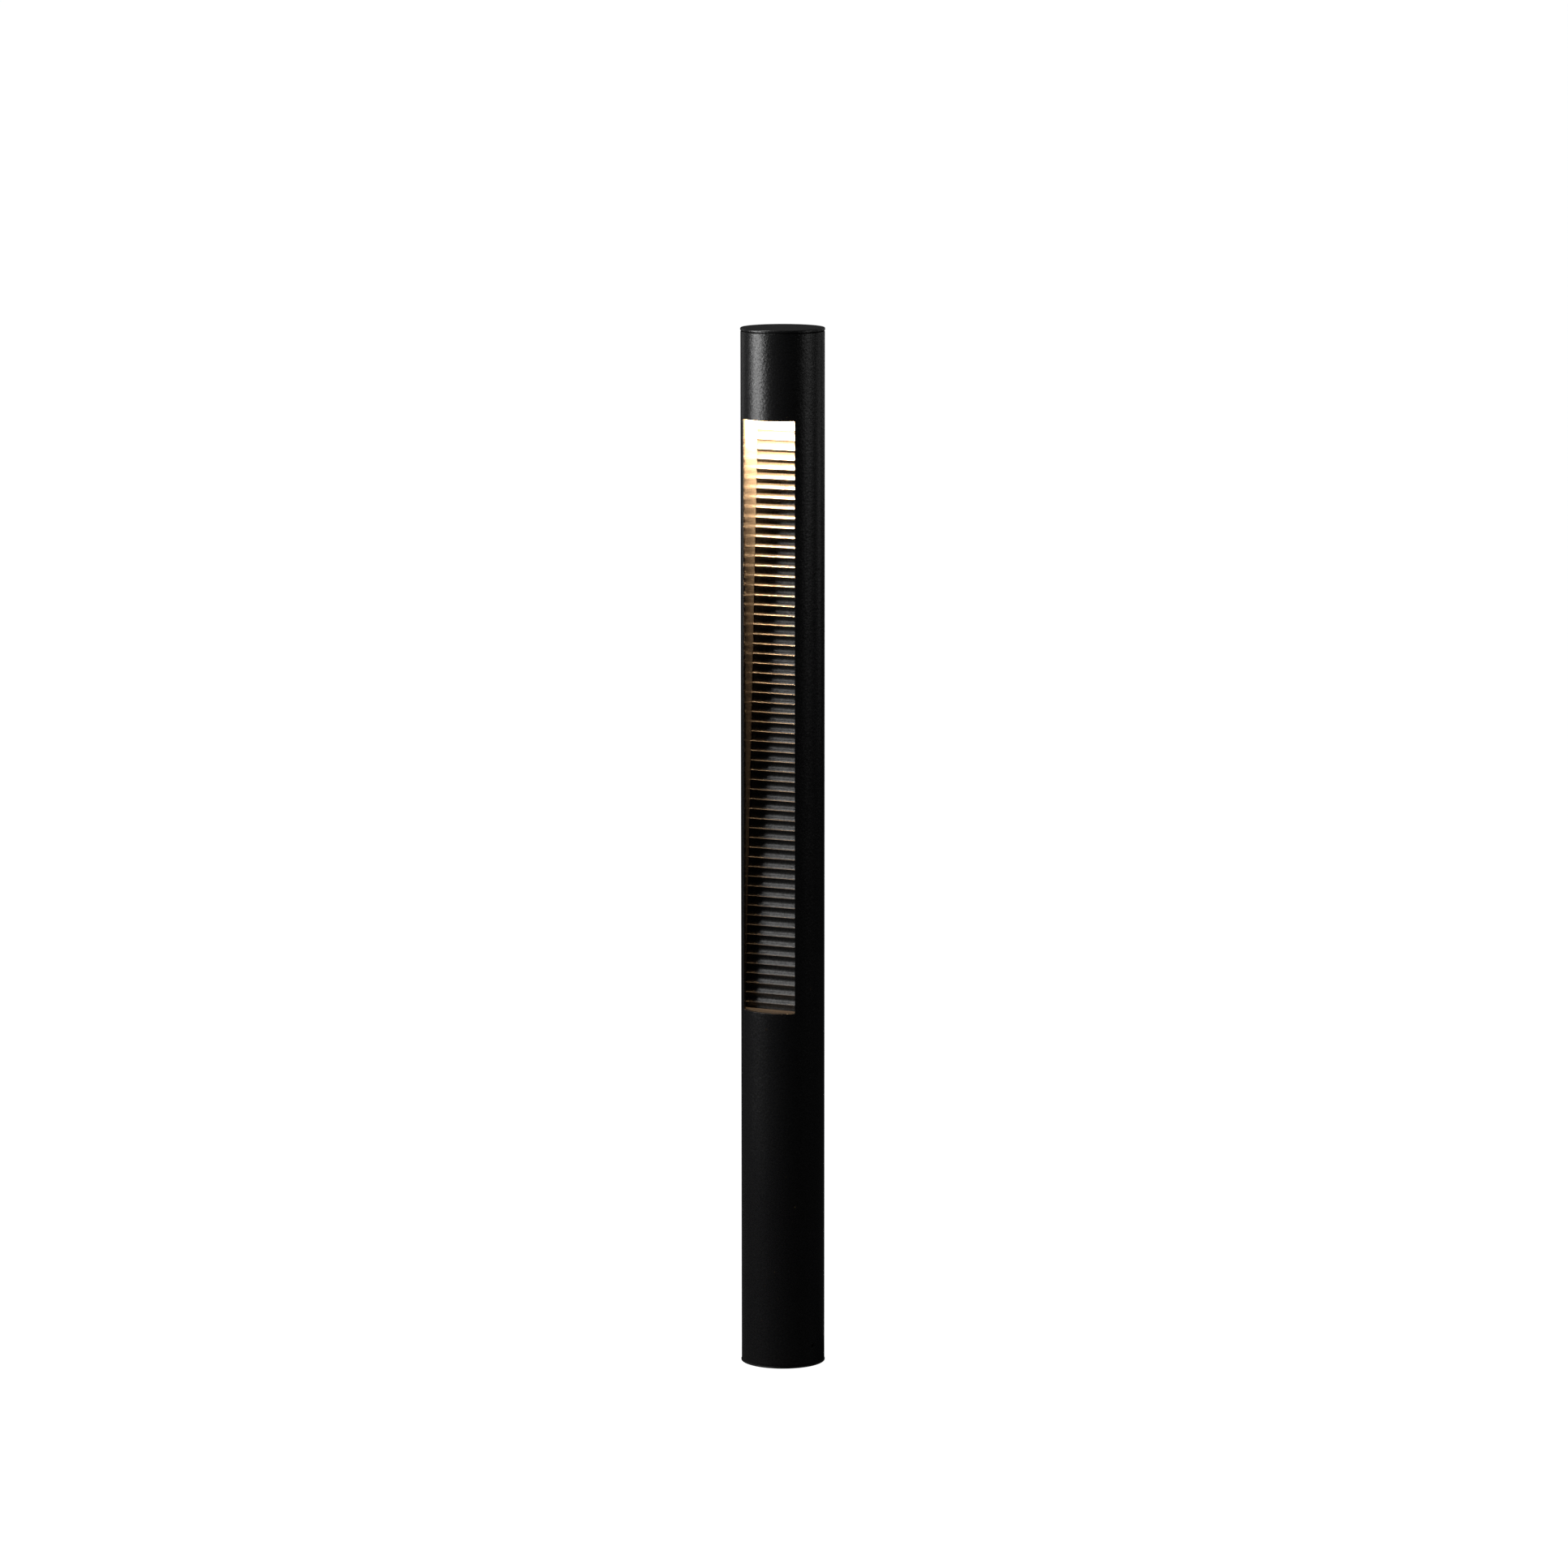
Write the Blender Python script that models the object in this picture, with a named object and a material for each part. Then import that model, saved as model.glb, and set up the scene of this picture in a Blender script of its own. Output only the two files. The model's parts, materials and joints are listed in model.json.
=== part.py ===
"""Bollard light: a tubular post with a tall side window, a leaning ribbed reflector and an LED head.

Metres, +Z up. The origin is the centre of the base plate's underside. The window faces -Y, the
front; left is -X.
"""

import math

import bmesh
import bpy
from mathutils import Matrix, Vector

for old in list(bpy.data.objects):
    bpy.data.objects.remove(old, do_unlink=True)

MM = 0.001
UP = (0, 0, 1)
DOWN = (0, 0, -1)
FORWARD = (0, -1, 0)
BACKWARD = (0, 1, 0)

# ---------------------------------------------------------------- driving dimensions
HEIGHT = 1000 * MM
TUBE_R = 40 * MM
TUBE_WALL = 3 * MM
TUBE_IN = TUBE_R - TUBE_WALL
TUBE_SEGS = 64
GAP = 0.3 * MM  # left between pieces that touch
OVERRUN = 1 * MM  # how far some cutters and joined pieces run past a face

LIP_R = 40.45 * MM  # rim of the base plate
LIP_H = 1.3 * MM
SEAT_H = 0.6 * MM  # gasket between the base plate and the tube
TUBE_Z0 = LIP_H + SEAT_H + 2 * GAP
SPIGOT_R = TUBE_IN - 0.4 * MM  # base spigot and cap skirt, inside the tube
FLOOR_H = 10 * MM  # thickness of the base casting's floor

CAP_H = 2.4 * MM
CAP_Z0 = HEIGHT - CAP_H
CAP_GROOVE_H = 1.0 * MM  # shadow gap under the cap
TUBE_Z1 = CAP_Z0 - CAP_GROOVE_H

WINDOW_HALF = 27 * MM
WINDOW_Z0 = 347.2 * MM
WINDOW_Z1 = 914.4 * MM
WELL_HALF = 31 * MM  # half the width inside the light well, which is wider than the window
WEB_T = 1.5 * MM  # sheet thickness of the light well

RIBS = 61
RIB_PITCH = (WINDOW_Z1 - WINDOW_Z0) / RIBS
RIDGE_Z0 = WINDOW_Z0 + 5.6 * MM  # height of the lowest ridge between two flutes
FLUTE_R = 6 * MM  # radius of the hollow flutes
RIDGE_R = 0.35 * MM  # the ridges' rounding
RIDGE_Y_TOP = 8.2 * MM  # y of the ridges at the top of the window
RIDGE_Y_BOTTOM = -19 * MM  # and at its bottom
FLUTE_DEPTH = FLUTE_R - math.sqrt(FLUTE_R**2 - (RIB_PITCH / 2) ** 2)

# depths behind the ridges
PANEL_BACK = FLUTE_DEPTH + 2.2 * MM
WEB_IN = PANEL_BACK + GAP
WEB_OUT = WEB_IN + WEB_T

INSERT_SCREW_Z = {"lower": 390 * MM, "upper": 880 * MM}
PANEL_SCREW_RIDGE = {"lower": 10, "upper": 50}  # which ridge each panel screw sits behind
PANEL_SCREW_Z = {end: RIDGE_Z0 + k * RIB_PITCH for end, k in PANEL_SCREW_RIDGE.items()}

# name: (degrees from the window's middle, z, hole radius, hole segments, socket across flats)
GRUBS = {
    "grub_screw_right": (71.5, 20 * MM, 2.5 * MM, 24, 2.5 * MM),
    "grub_screw_left": (-71.5, 20 * MM, 2.5 * MM, 24, 2.5 * MM),
    "grub_screw_rear": (180.0, 20 * MM, 2.5 * MM, 24, 2.5 * MM),
    "cap_grub_screw": (180.0, 989 * MM, 2.3 * MM, 20, 2.0 * MM),
}


# ---------------------------------------------------------------- materials
def material(name, colour, roughness, metallic=0.0, emission=0.0):
    made = bpy.data.materials.new(name)
    made.use_nodes = True
    inputs = made.node_tree.nodes["Principled BSDF"].inputs
    inputs["Base Color"].default_value = (*colour, 1)
    inputs["Roughness"].default_value = roughness
    inputs["Metallic"].default_value = metallic
    if emission:
        inputs["Emission Color"].default_value = (*colour, 1)
        inputs["Emission Strength"].default_value = emission
    made.diffuse_color = (*colour, 1)
    return made


POWDER = material("powder_coat_black", colour=(0.018, 0.018, 0.019), roughness=0.42)
WELL = material("powder_coat_well", colour=(0.03, 0.03, 0.03), roughness=0.38)
RUBBER = material("rubber_black", colour=(0.012, 0.012, 0.012), roughness=0.8)
STEEL = material("stainless_steel", colour=(0.55, 0.55, 0.56), roughness=0.3, metallic=1.0)
ZINC = material("zinc_sheet", colour=(0.62, 0.63, 0.65), roughness=0.4, metallic=1.0)
ALU = material("cast_aluminium", colour=(0.66, 0.66, 0.68), roughness=0.45, metallic=1.0)
BRASS = material("nickel_brass", colour=(0.7, 0.62, 0.45), roughness=0.3, metallic=1.0)
DRIVER = material("driver_white", colour=(0.85, 0.85, 0.83), roughness=0.5)
TERMINAL = material("terminal_grey", colour=(0.55, 0.56, 0.55), roughness=0.5)
CABLE = material("cable_black", colour=(0.02, 0.02, 0.02), roughness=0.6)
LEAD = material("lead_grey", colour=(0.32, 0.32, 0.33), roughness=0.55)
EARTH = material("earth_green", colour=(0.1, 0.42, 0.12), roughness=0.5)
BOARD = material("board_white", colour=(0.86, 0.86, 0.84), roughness=0.4)
PAD = material("pad_blue", colour=(0.35, 0.45, 0.62), roughness=0.8)
PHOSPHOR = material("phosphor_warm", colour=(1.0, 0.72, 0.35), roughness=0.5, emission=4.0)
LENS = material("lens_frosted", colour=(0.93, 0.93, 0.9), roughness=0.35)
CONNECTOR = material("connector_black", colour=(0.03, 0.03, 0.035), roughness=0.45)


# ---------------------------------------------------------------- points
def mm(*values):
    """Millimetres as a tuple of metres."""
    return tuple(value * MM for value in values)


def mm_points(*points):
    return [mm(*point) for point in points]


def mirrored(x, y, z):
    """The left and right points at this distance from the middle."""
    return [(-x, y, z), (x, y, z)]


def radial(angle):
    """Unit direction at this angle from the window's middle, positive towards +X."""
    turn = math.radians(angle)
    return Vector((math.sin(turn), -math.cos(turn), 0))


def ring_profile(inner, outer, low, high):
    return [(inner, low), (outer, low), (outer, high), (inner, high)]


def d_outline(radius, chord_y, segs=30):
    """The outline of a disc of this radius cut off square at y = chord_y."""
    chord_angle = math.asin(chord_y / radius)
    first, last = math.pi - chord_angle, math.tau + chord_angle
    angles = [first + (last - first) * i / segs for i in range(segs + 1)]
    return [(radius * math.cos(a), radius * math.sin(a)) for a in angles]


def smooth_path(controls, steps):
    """Points of a smooth path through the controls (Catmull-Rom)."""
    knots = [Vector(p) for p in controls]
    knots = [2 * knots[0] - knots[1], *knots, 2 * knots[-1] - knots[-2]]
    points = []
    for before, start, end, after in zip(knots, knots[1:], knots[2:], knots[3:]):
        for i in range(steps):
            t = i / steps
            points.append(
                0.5
                * (
                    2 * start
                    + (end - before) * t
                    + (2 * before - 5 * start + 4 * end - after) * t**2
                    + (3 * start - before - 3 * end + after) * t**3
                )
            )
    points.append(knots[-2])
    return points


# ---------------------------------------------------------------- shapes
def rotation_to(axis):
    return Vector(UP).rotation_difference(Vector(axis)).to_matrix().to_4x4()


def add_box(shape, low, high):
    low, high = Vector(low), Vector(high)
    scale = Matrix.Diagonal((*(high - low), 1))
    matrix = Matrix.Translation((low + high) / 2) @ scale
    bmesh.ops.create_cube(shape, size=1.0, matrix=matrix)


def add_bevelled_box(shape, low, high, offset, segments):
    add_box(shape, low, high)
    bmesh.ops.bevel(
        shape, geom=shape.edges[:], offset=offset, segments=segments, affect="EDGES"
    )


def add_cylinder(shape, start, axis, radius, length, segs):
    axis = Vector(axis).normalized()
    bmesh.ops.create_cone(
        shape,
        cap_ends=True,
        segments=segs,
        radius1=radius,
        radius2=radius,
        depth=length,
        matrix=Matrix.Translation(Vector(start) + axis * length / 2) @ rotation_to(axis),
    )


def add_cylinders(shape, starts, axis, radius, length, segs):
    for start in starts:
        add_cylinder(shape, start, axis, radius, length, segs)


def add_hexagon(shape, start, axis, across_flats, length):
    add_cylinder(shape, start, axis, across_flats / math.sqrt(3), length, 6)


def add_turned(shape, profile, segs, start=(0, 0, 0), axis=UP):
    """A profile of (radius, height) turned about the axis.

    One that never touches the axis is closed on itself.
    """
    before = set(shape.verts)
    verts = [shape.verts.new((radius, 0, z)) for radius, z in profile]
    pairs = list(zip(verts, verts[1:]))
    if min(radius for radius, _ in profile) > 0:
        pairs.append((verts[-1], verts[0]))
    edges = [shape.edges.new(pair) for pair in pairs]
    bmesh.ops.spin(
        shape,
        geom=verts + edges,
        cent=(0, 0, 0),
        axis=UP,
        angle=math.tau,
        steps=segs,
        use_merge=True,
    )
    made = [v for v in shape.verts if v not in before]
    bmesh.ops.remove_doubles(shape, verts=made, dist=1e-7)
    made = [v for v in shape.verts if v not in before]
    matrix = Matrix.Translation(start) @ rotation_to(axis)
    bmesh.ops.transform(shape, matrix=matrix, verts=made)


def add_prism(shape, outline, low, high, along="X"):
    """A flat outline extruded along X (points are y, z) or along Z (points are x, y)."""
    if along == "X":
        points = [(low, y, z) for y, z in outline]
        step = Vector((high - low, 0, 0))
    else:
        points = [(x, y, low) for x, y in outline]
        step = Vector((0, 0, high - low))
    face = shape.faces.new([shape.verts.new(p) for p in points])
    made = bmesh.ops.extrude_face_region(shape, geom=[face])["geom"]
    far_end = [v for v in made if isinstance(v, bmesh.types.BMVert)]
    bmesh.ops.translate(shape, vec=step, verts=far_end)


def add_lead(shape, controls, radius, sides, steps, end=UP):
    """A round lead along a smooth path. Its flat ends lie square to UP and to the end direction."""
    path = smooth_path(controls, steps)
    last = len(path) - 1
    rings = []
    side = None
    for i, point in enumerate(path):
        if i == 0:
            ahead = Vector(UP)
        elif i == last:
            ahead = Vector(end)
        else:
            ahead = path[i + 1] - path[i - 1]
        ahead = ahead.normalized()
        if side is None:
            side = ahead.orthogonal().normalized()
        side = (side - ahead * side.dot(ahead)).normalized()
        other = ahead.cross(side)
        ring = []
        for k in range(sides):
            turn = math.tau * k / sides
            spoke = math.cos(turn) * side + math.sin(turn) * other
            ring.append(shape.verts.new(point + radius * spoke))
        rings.append(ring)
    for ring, following in zip(rings, rings[1:]):
        for k in range(sides):
            n = (k + 1) % sides
            shape.faces.new((ring[k], ring[n], following[n], following[k]))
    shape.faces.new(list(reversed(rings[0])))
    shape.faces.new(rings[-1])


def built(add, *args):
    """A new mesh holding what one of the functions above adds."""
    shape = bmesh.new()
    add(shape, *args)
    return shape


# ---------------------------------------------------------------- objects
def world_origin(parent):
    return Vector(parent["at"]) if parent else Vector((0, 0, 0))


def axis_empty(name, location, parent=None):
    """An empty on a joint axis. It stores its world position under "at"."""
    empty = bpy.data.objects.new(name, None)
    empty.empty_display_size = 0.02
    empty["at"] = tuple(location)
    empty.location = Vector(location) - world_origin(parent)
    empty.parent = parent
    bpy.context.scene.collection.objects.link(empty)
    return empty


def add_object(name, shape, finish, parent=None, smooth=35):
    """The mesh, drawn in world coordinates, as an object whose origin is its parent empty.

    Edges sharper than `smooth` degrees stay sharp; 0 leaves the whole mesh flat.
    """
    bmesh.ops.recalc_face_normals(shape, faces=shape.faces)
    bmesh.ops.translate(shape, vec=-world_origin(parent), verts=shape.verts)
    mesh = bpy.data.meshes.new(name)
    shape.to_mesh(mesh)
    shape.free()
    mesh.materials.append(finish)
    if smooth:
        mesh.shade_smooth()
        mesh.set_sharp_from_angle(angle=math.radians(smooth))
    obj = bpy.data.objects.new(name, mesh)
    obj.parent = parent
    bpy.context.scene.collection.objects.link(obj)
    return obj


def boolean(obj, name, shape, operation="DIFFERENCE"):
    """Combines obj with a helper that follows the same parent and never renders."""
    helper = add_object(f"{obj.name}_{name}", shape, obj.data.materials[0], obj.parent, 0)
    helper.hide_render = True
    helper.display_type = "WIRE"
    modifier = obj.modifiers.new(name, "BOOLEAN")
    modifier.operation = operation
    modifier.solver = "EXACT"
    modifier.object = helper


def screw(name, at, axis, head, shank, socket, parent=None, rim=None):
    """A socket screw with the underside of its head at `at` and its shank along the axis.

    Head is (radius, height), shank is (radius, length). A rim height makes the head countersunk.
    """
    head_r, head_h = head
    shank_r, shank_l = shank
    if rim is None:
        rim = head_h
    profile = [(0, -head_h), (head_r, -head_h), (head_r, rim - head_h)]
    profile += [(shank_r, 0), (shank_r, shank_l), (0, shank_l)]
    obj = add_object(name, built(add_turned, profile, 12, at, axis), STEEL, parent)
    start = Vector(at) - Vector(axis).normalized() * (head_h + OVERRUN)
    boolean(obj, "socket", built(add_hexagon, start, axis, socket, 0.6 * head_h + OVERRUN))


# joint axes
aim_axis = axis_empty("aim_axis", (0, 0, TUBE_Z0))
post_axis = axis_empty("post_axis", (0, 0, TUBE_Z0), aim_axis)
head_axis = axis_empty("head_axis", (0, 0, TUBE_Z1), post_axis)

# ---------------------------------------------------------------- base, bolted to the ground
SPIGOT_IN = 30.6 * MM
SPIGOT_TOP = 42 * MM
SPIGOT_CHAMFER = 1.5 * MM
CABLE_HOLE_R = 10 * MM
ANCHOR_R = 22 * MM  # radius of the circle the anchor holes lie on
ANCHOR_HOLE_R = 4.5 * MM
ANCHOR_ANGLES = (-30, 90, 210)  # from +X
EARTH_XY = mm(0, -22)
EARTH_HOLE_R = 2.7 * MM
TRAY_SCREW_X = 15 * MM
TRAY_SCREW_Y = 19.9 * MM
TRAY_HOLE_R = 1.7 * MM
FOOT_GROOVE_IN = 31 * MM  # seal groove in the underside
FOOT_GROOVE_R = 34.4 * MM
FOOT_GROOVE_H = 1.2 * MM

base_profile = [
    (0, 0),
    (LIP_R, 0),
    (LIP_R, LIP_H),
    (SPIGOT_R, LIP_H),
    (SPIGOT_R, SPIGOT_TOP - SPIGOT_CHAMFER),
    (SPIGOT_R - SPIGOT_CHAMFER, SPIGOT_TOP),
    (SPIGOT_IN, SPIGOT_TOP),
    (SPIGOT_IN, FLOOR_H),
    (0, FLOOR_H),
]
base_flange = add_object("base_flange", built(add_turned, base_profile, TUBE_SEGS), POWDER)
through_floor = FLOOR_H + 2 * OVERRUN
cutter = built(add_cylinder, (0, 0, -OVERRUN), UP, CABLE_HOLE_R, through_floor, 32)
for angle in map(math.radians, ANCHOR_ANGLES):
    start = (ANCHOR_R * math.cos(angle), ANCHOR_R * math.sin(angle), -OVERRUN)
    add_cylinder(cutter, start, UP, ANCHOR_HOLE_R, through_floor, 20)
add_cylinder(cutter, (*EARTH_XY, 4.7 * MM), UP, EARTH_HOLE_R, 7 * MM, 16)
tray_holes = mirrored(TRAY_SCREW_X, TRAY_SCREW_Y, 3 * MM)
add_cylinders(cutter, tray_holes, UP, TRAY_HOLE_R, 9 * MM, 14)
groove = ring_profile(FOOT_GROOVE_IN, FOOT_GROOVE_R, -OVERRUN, FOOT_GROOVE_H)
add_turned(cutter, groove, 40)
boolean(base_flange, "holes", cutter)

profile = ring_profile(FOOT_GROOVE_IN + GAP, FOOT_GROOVE_R - GAP, 0, FOOT_GROOVE_H - GAP)
add_object("foot_seal", built(add_turned, profile, 40), RUBBER)

# ---------------------------------------------------------------- cable gland in the base's floor
GLAND_FLATS = 24 * MM
GLAND_Z0 = FLOOR_H + GAP
GLAND_HEX_H = 6 * MM
NUT_Z0 = GLAND_Z0 + GLAND_HEX_H + GAP
NUT_HEX_H = 8 * MM
# (radius, z)
GLAND_BARREL = mm_points(
    (0, 1.5), (9.2, 1.5), (9.7, 2), (9.7, 11), (8.6, 12), (8.6, 25), (0, 25)
)
NUT_DOME = mm_points((0, 18), (11.5, 18), (11.5, 25.5), (10, 28.6), (7.5, 30.4), (0, 30.4))
NUT_BORE = mm_points((0, 15), (8.95, 15), (8.95, 25.4), (4.9, 26.6), (4.9, 32), (0, 32))

hexagon = built(add_hexagon, (0, 0, GLAND_Z0), UP, GLAND_FLATS, GLAND_HEX_H)
gland = add_object("cable_gland_body", hexagon, BRASS)
boolean(gland, "barrel", built(add_turned, GLAND_BARREL, 24), "UNION")
boolean(gland, "bore", built(add_cylinder, (0, 0, 0), UP, 6.2 * MM, 30 * MM, 32))

profile = ring_profile(*mm(4.8, 5.9, 17, 24.9))
add_object("gland_seal", built(add_turned, profile, 28), RUBBER)

hexagon = built(add_hexagon, (0, 0, NUT_Z0), UP, GLAND_FLATS, NUT_HEX_H)
nut = add_object("gland_dome_nut", hexagon, BRASS)
boolean(nut, "dome", built(add_turned, NUT_DOME, 24), "UNION")
boolean(nut, "bore", built(add_turned, NUT_BORE, 20))

# ---------------------------------------------------------------- gear tray, standing on the base
TRAY_T = 2 * MM
TRAY_HALF = 25 * MM
TRAY_Y0 = 14.3 * MM
TRAY_Y1 = TRAY_Y0 + TRAY_T
TRAY_Z0 = FLOOR_H + GAP
TRAY_FOOT_Z1 = TRAY_Z0 + TRAY_T
TRAY_TOP = 268 * MM
TRAY_FOOT_Y = 22.5 * MM
FOOT_NOTCHES = mm_points((-40, -20), (-10, 10), (20, 40))  # x ranges cut out of the folded foot
GEAR_Y = TRAY_Y0 - GAP  # back of everything mounted on the tray

TERMINAL_HALF = 14 * MM
TERMINAL_DEPTH = 21.7 * MM
TERMINAL_Z0 = 64 * MM
TERMINAL_Z1 = 82 * MM
TERMINAL_Z = (TERMINAL_Z0 + TERMINAL_Z1) / 2
WIRE_HOLE_X = 9 * MM
WIRE_HOLE_DZ = 4 * MM  # above and below the block's middle

DRIVER_HALF = 18 * MM
DRIVER_DEPTH = 21.2 * MM
DRIVER_Z0 = 110 * MM
DRIVER_Z1 = 230 * MM
EAR_HALF = 9 * MM
EAR_L = 9 * MM  # how far the ears stand out above and below
EAR_FRONT = GEAR_Y - 3.3 * MM
EAR_BACK = GEAR_Y - 0.5 * MM
DRIVER_SCREW_Z = {"lower": DRIVER_Z0 - EAR_L / 2, "upper": DRIVER_Z1 + EAR_L / 2}

tray_outline = [
    (TRAY_Y0, TRAY_Z0),
    (TRAY_FOOT_Y, TRAY_Z0),
    (TRAY_FOOT_Y, TRAY_FOOT_Z1),
    (TRAY_Y1, TRAY_FOOT_Z1),
    (TRAY_Y1, TRAY_TOP),
    (TRAY_Y0, TRAY_TOP),
]
tray = add_object("gear_tray", built(add_prism, tray_outline, -TRAY_HALF, TRAY_HALF), ZINC)
cutter = bmesh.new()
for left, right in FOOT_NOTCHES:
    add_box(cutter, (left, TRAY_Y1 + 0.6 * MM, 5 * MM), (right, 40 * MM, 20 * MM))
tray_holes = mirrored(TRAY_SCREW_X, TRAY_SCREW_Y, 5 * MM)
add_cylinders(cutter, tray_holes, UP, TRAY_HOLE_R, 10 * MM, 14)
gear_holes = [(0, 10 * MM, z) for z in (TERMINAL_Z, *DRIVER_SCREW_Z.values())]
add_cylinders(cutter, gear_holes, BACKWARD, 1.9 * MM, 10 * MM, 14)
boolean(tray, "holes", cutter)
seats = mirrored(TRAY_SCREW_X, TRAY_SCREW_Y, TRAY_FOOT_Z1 + GAP)
for side, at in zip(("left", "right"), seats):
    screw(f"tray_screw_{side}", at, DOWN, mm(2.8, 2.4), mm(1.4, 8.8), socket=2.5 * MM)

# terminal block
box = built(
    add_bevelled_box,
    (-TERMINAL_HALF, GEAR_Y - TERMINAL_DEPTH, TERMINAL_Z0),
    (TERMINAL_HALF, GEAR_Y, TERMINAL_Z1),
    0.8 * MM,
    1,
)
terminal = add_object("terminal_block", box, TERMINAL, smooth=0)
hole_y = -20 * MM
cutter = built(add_cylinder, (0, hole_y, TERMINAL_Z), BACKWARD, 1.9 * MM, 40 * MM, 16)
for z in (TERMINAL_Z + WIRE_HOLE_DZ, TERMINAL_Z - WIRE_HOLE_DZ):
    wire_holes = mirrored(WIRE_HOLE_X, hole_y, z)
    add_cylinders(cutter, wire_holes, BACKWARD, 2 * MM, 17 * MM, 12)
boolean(terminal, "holes", cutter)
at = (0, GEAR_Y - TERMINAL_DEPTH - GAP, TERMINAL_Z)
screw("terminal_block_screw", at, BACKWARD, mm(3.2, 2), mm(1.6, 26), socket=2.5 * MM)

# LED driver
box = built(
    add_bevelled_box,
    (-DRIVER_HALF, GEAR_Y - DRIVER_DEPTH, DRIVER_Z0),
    (DRIVER_HALF, GEAR_Y, DRIVER_Z1),
    1.6 * MM,
    2,
)
driver = add_object("led_driver", box, DRIVER)
ears = built(
    add_box, (-EAR_HALF, EAR_FRONT, DRIVER_Z0 - EAR_L), (EAR_HALF, EAR_BACK, DRIVER_Z1 + EAR_L)
)
boolean(driver, "ears", ears, "UNION")
ear_holes = [(0, 5 * MM, z) for z in DRIVER_SCREW_Z.values()]
boolean(driver, "holes", built(add_cylinders, ear_holes, BACKWARD, 2 * MM, 12 * MM, 14))
for end, z in DRIVER_SCREW_Z.items():
    at = (0, EAR_FRONT - GAP, z)
    screw(f"driver_screw_{end}", at, BACKWARD, mm(3.4, 2.2), mm(1.6, 7.2), socket=2.5 * MM)

# ---------------------------------------------------------------- wiring in the base
WIRE_END_Z = TERMINAL_Z0 - GAP
AC_XY = mm(-6, 3)
EYE_Z0 = 12.1 * MM  # ring terminal under the earth nut
EYE_H = 1 * MM
LEAD_R = 2.4 * MM  # low-voltage leads
JOINT_Z = 300 * MM  # where the inline plug meets its socket
EARTH_STUD = mm_points((0, 5), (2.4, 5), (2.4, 25.5), (1.9, 26), (0, 26))  # (radius, z)
# (radius, height above the joint)
INLINE_SOCKET = mm_points(
    (0, -24), (5.5, -24), (7, -21), (7, 0), (5, 0), (5, -8), (0, -8)
)

path = [*mm_points((0, 0, 1), (0, 0, 30), (0.6, -1.2, 48)), (0, 0, WIRE_END_Z)]
add_object("mains_cable", built(add_lead, path, 4.5 * MM, 14, 3), CABLE)

path = [(*AC_XY, TERMINAL_Z1 + GAP), mm(-8, 0, 95), (*AC_XY, DRIVER_Z0 - GAP)]
add_object("ac_lead", built(add_lead, path, 2.6 * MM, 12, 6), CABLE)

add_object("earth_stud", built(add_turned, EARTH_STUD, 20, (*EARTH_XY, 0)), BRASS)

hexagon = built(add_hexagon, (*EARTH_XY, EYE_Z0 + EYE_H + GAP), UP, 8 * MM, 4 * MM)
earth_nut = add_object("earth_nut", hexagon, STEEL, smooth=0)
bore = built(add_cylinder, (*EARTH_XY, 12 * MM), UP, EARTH_HOLE_R, 8 * MM, 20)
boolean(earth_nut, "bore", bore)

disc = built(add_cylinder, (*EARTH_XY, EYE_Z0), UP, 5.6 * MM, EYE_H, 24)
earth_lead = add_object("earth_lead", disc, EARTH)
path = mm_points((5.35, -18.45, 12.4), (6.5, -17, 22), (4, -15, 42))
path.append((9 * MM, -3 * MM, WIRE_END_Z))
boolean(earth_lead, "wire", built(add_lead, path, 1.5 * MM, 8, 5), "UNION")
bore = built(add_cylinder, (*EARTH_XY, 10 * MM), UP, EARTH_HOLE_R, 5 * MM, 20)
boolean(earth_lead, "eye", bore)

path = [
    (7 * MM, 3 * MM, DRIVER_Z1 + GAP),
    *mm_points((6, 1, 244), (1, -1, 262)),
    (0, 0, JOINT_Z - 24 * MM - GAP),
]
add_object("driver_output_lead", built(add_lead, path, LEAD_R, 8, 4), LEAD)
add_object("inline_socket", built(add_turned, INLINE_SOCKET, 24, (0, 0, JOINT_Z)), CONNECTOR)

# ---------------------------------------------------------------- ring under the post
z = LIP_H + GAP
profile = ring_profile(37.2 * MM, 39.6 * MM, z, z + SEAT_H)
add_object("seat_gasket", built(add_turned, profile, TUBE_SEGS), RUBBER, aim_axis)

# ---------------------------------------------------------------- post tube
HOLE_START = 30 * MM  # distance from the post's axis at which the wall cutters start
# (radius, distance behind the post's axis)
COUNTERSINK = mm_points((0, 30), (2.3, 30), (2.3, 37.3), (4.6, 39.6), (4.6, 45), (0, 45))

profile = ring_profile(TUBE_IN, TUBE_R, TUBE_Z0, TUBE_Z1)
tube = add_object("post_tube", built(add_turned, profile, TUBE_SEGS), POWDER, post_axis)
window = built(
    add_box, (-WINDOW_HALF, -60 * MM, WINDOW_Z0), (WINDOW_HALF, -5 * MM, WINDOW_Z1)
)
boolean(tube, "window", window)
cutter = bmesh.new()
for angle, z, hole_r, segs, _ in GRUBS.values():
    outward = radial(angle)
    start = outward * HOLE_START + Vector((0, 0, z))
    add_cylinder(cutter, start, outward, hole_r, 15 * MM, segs)
for z in INSERT_SCREW_Z.values():
    add_turned(cutter, COUNTERSINK, 28, (0, 0, z), BACKWARD)
boolean(tube, "holes", cutter)


# ---------------------------------------------------------------- light well
def ridge_y(z):
    """y of the ridges at height z: the reflector leans towards the window as it goes down."""
    down = (WINDOW_Z1 - z) / (WINDOW_Z1 - WINDOW_Z0)
    return RIDGE_Y_TOP + (RIDGE_Y_BOTTOM - RIDGE_Y_TOP) * down


def behind_ridges(z, depth):
    """The point on the middle plane this far behind the ridges at height z."""
    return (0, ridge_y(z) + depth, z)


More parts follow.
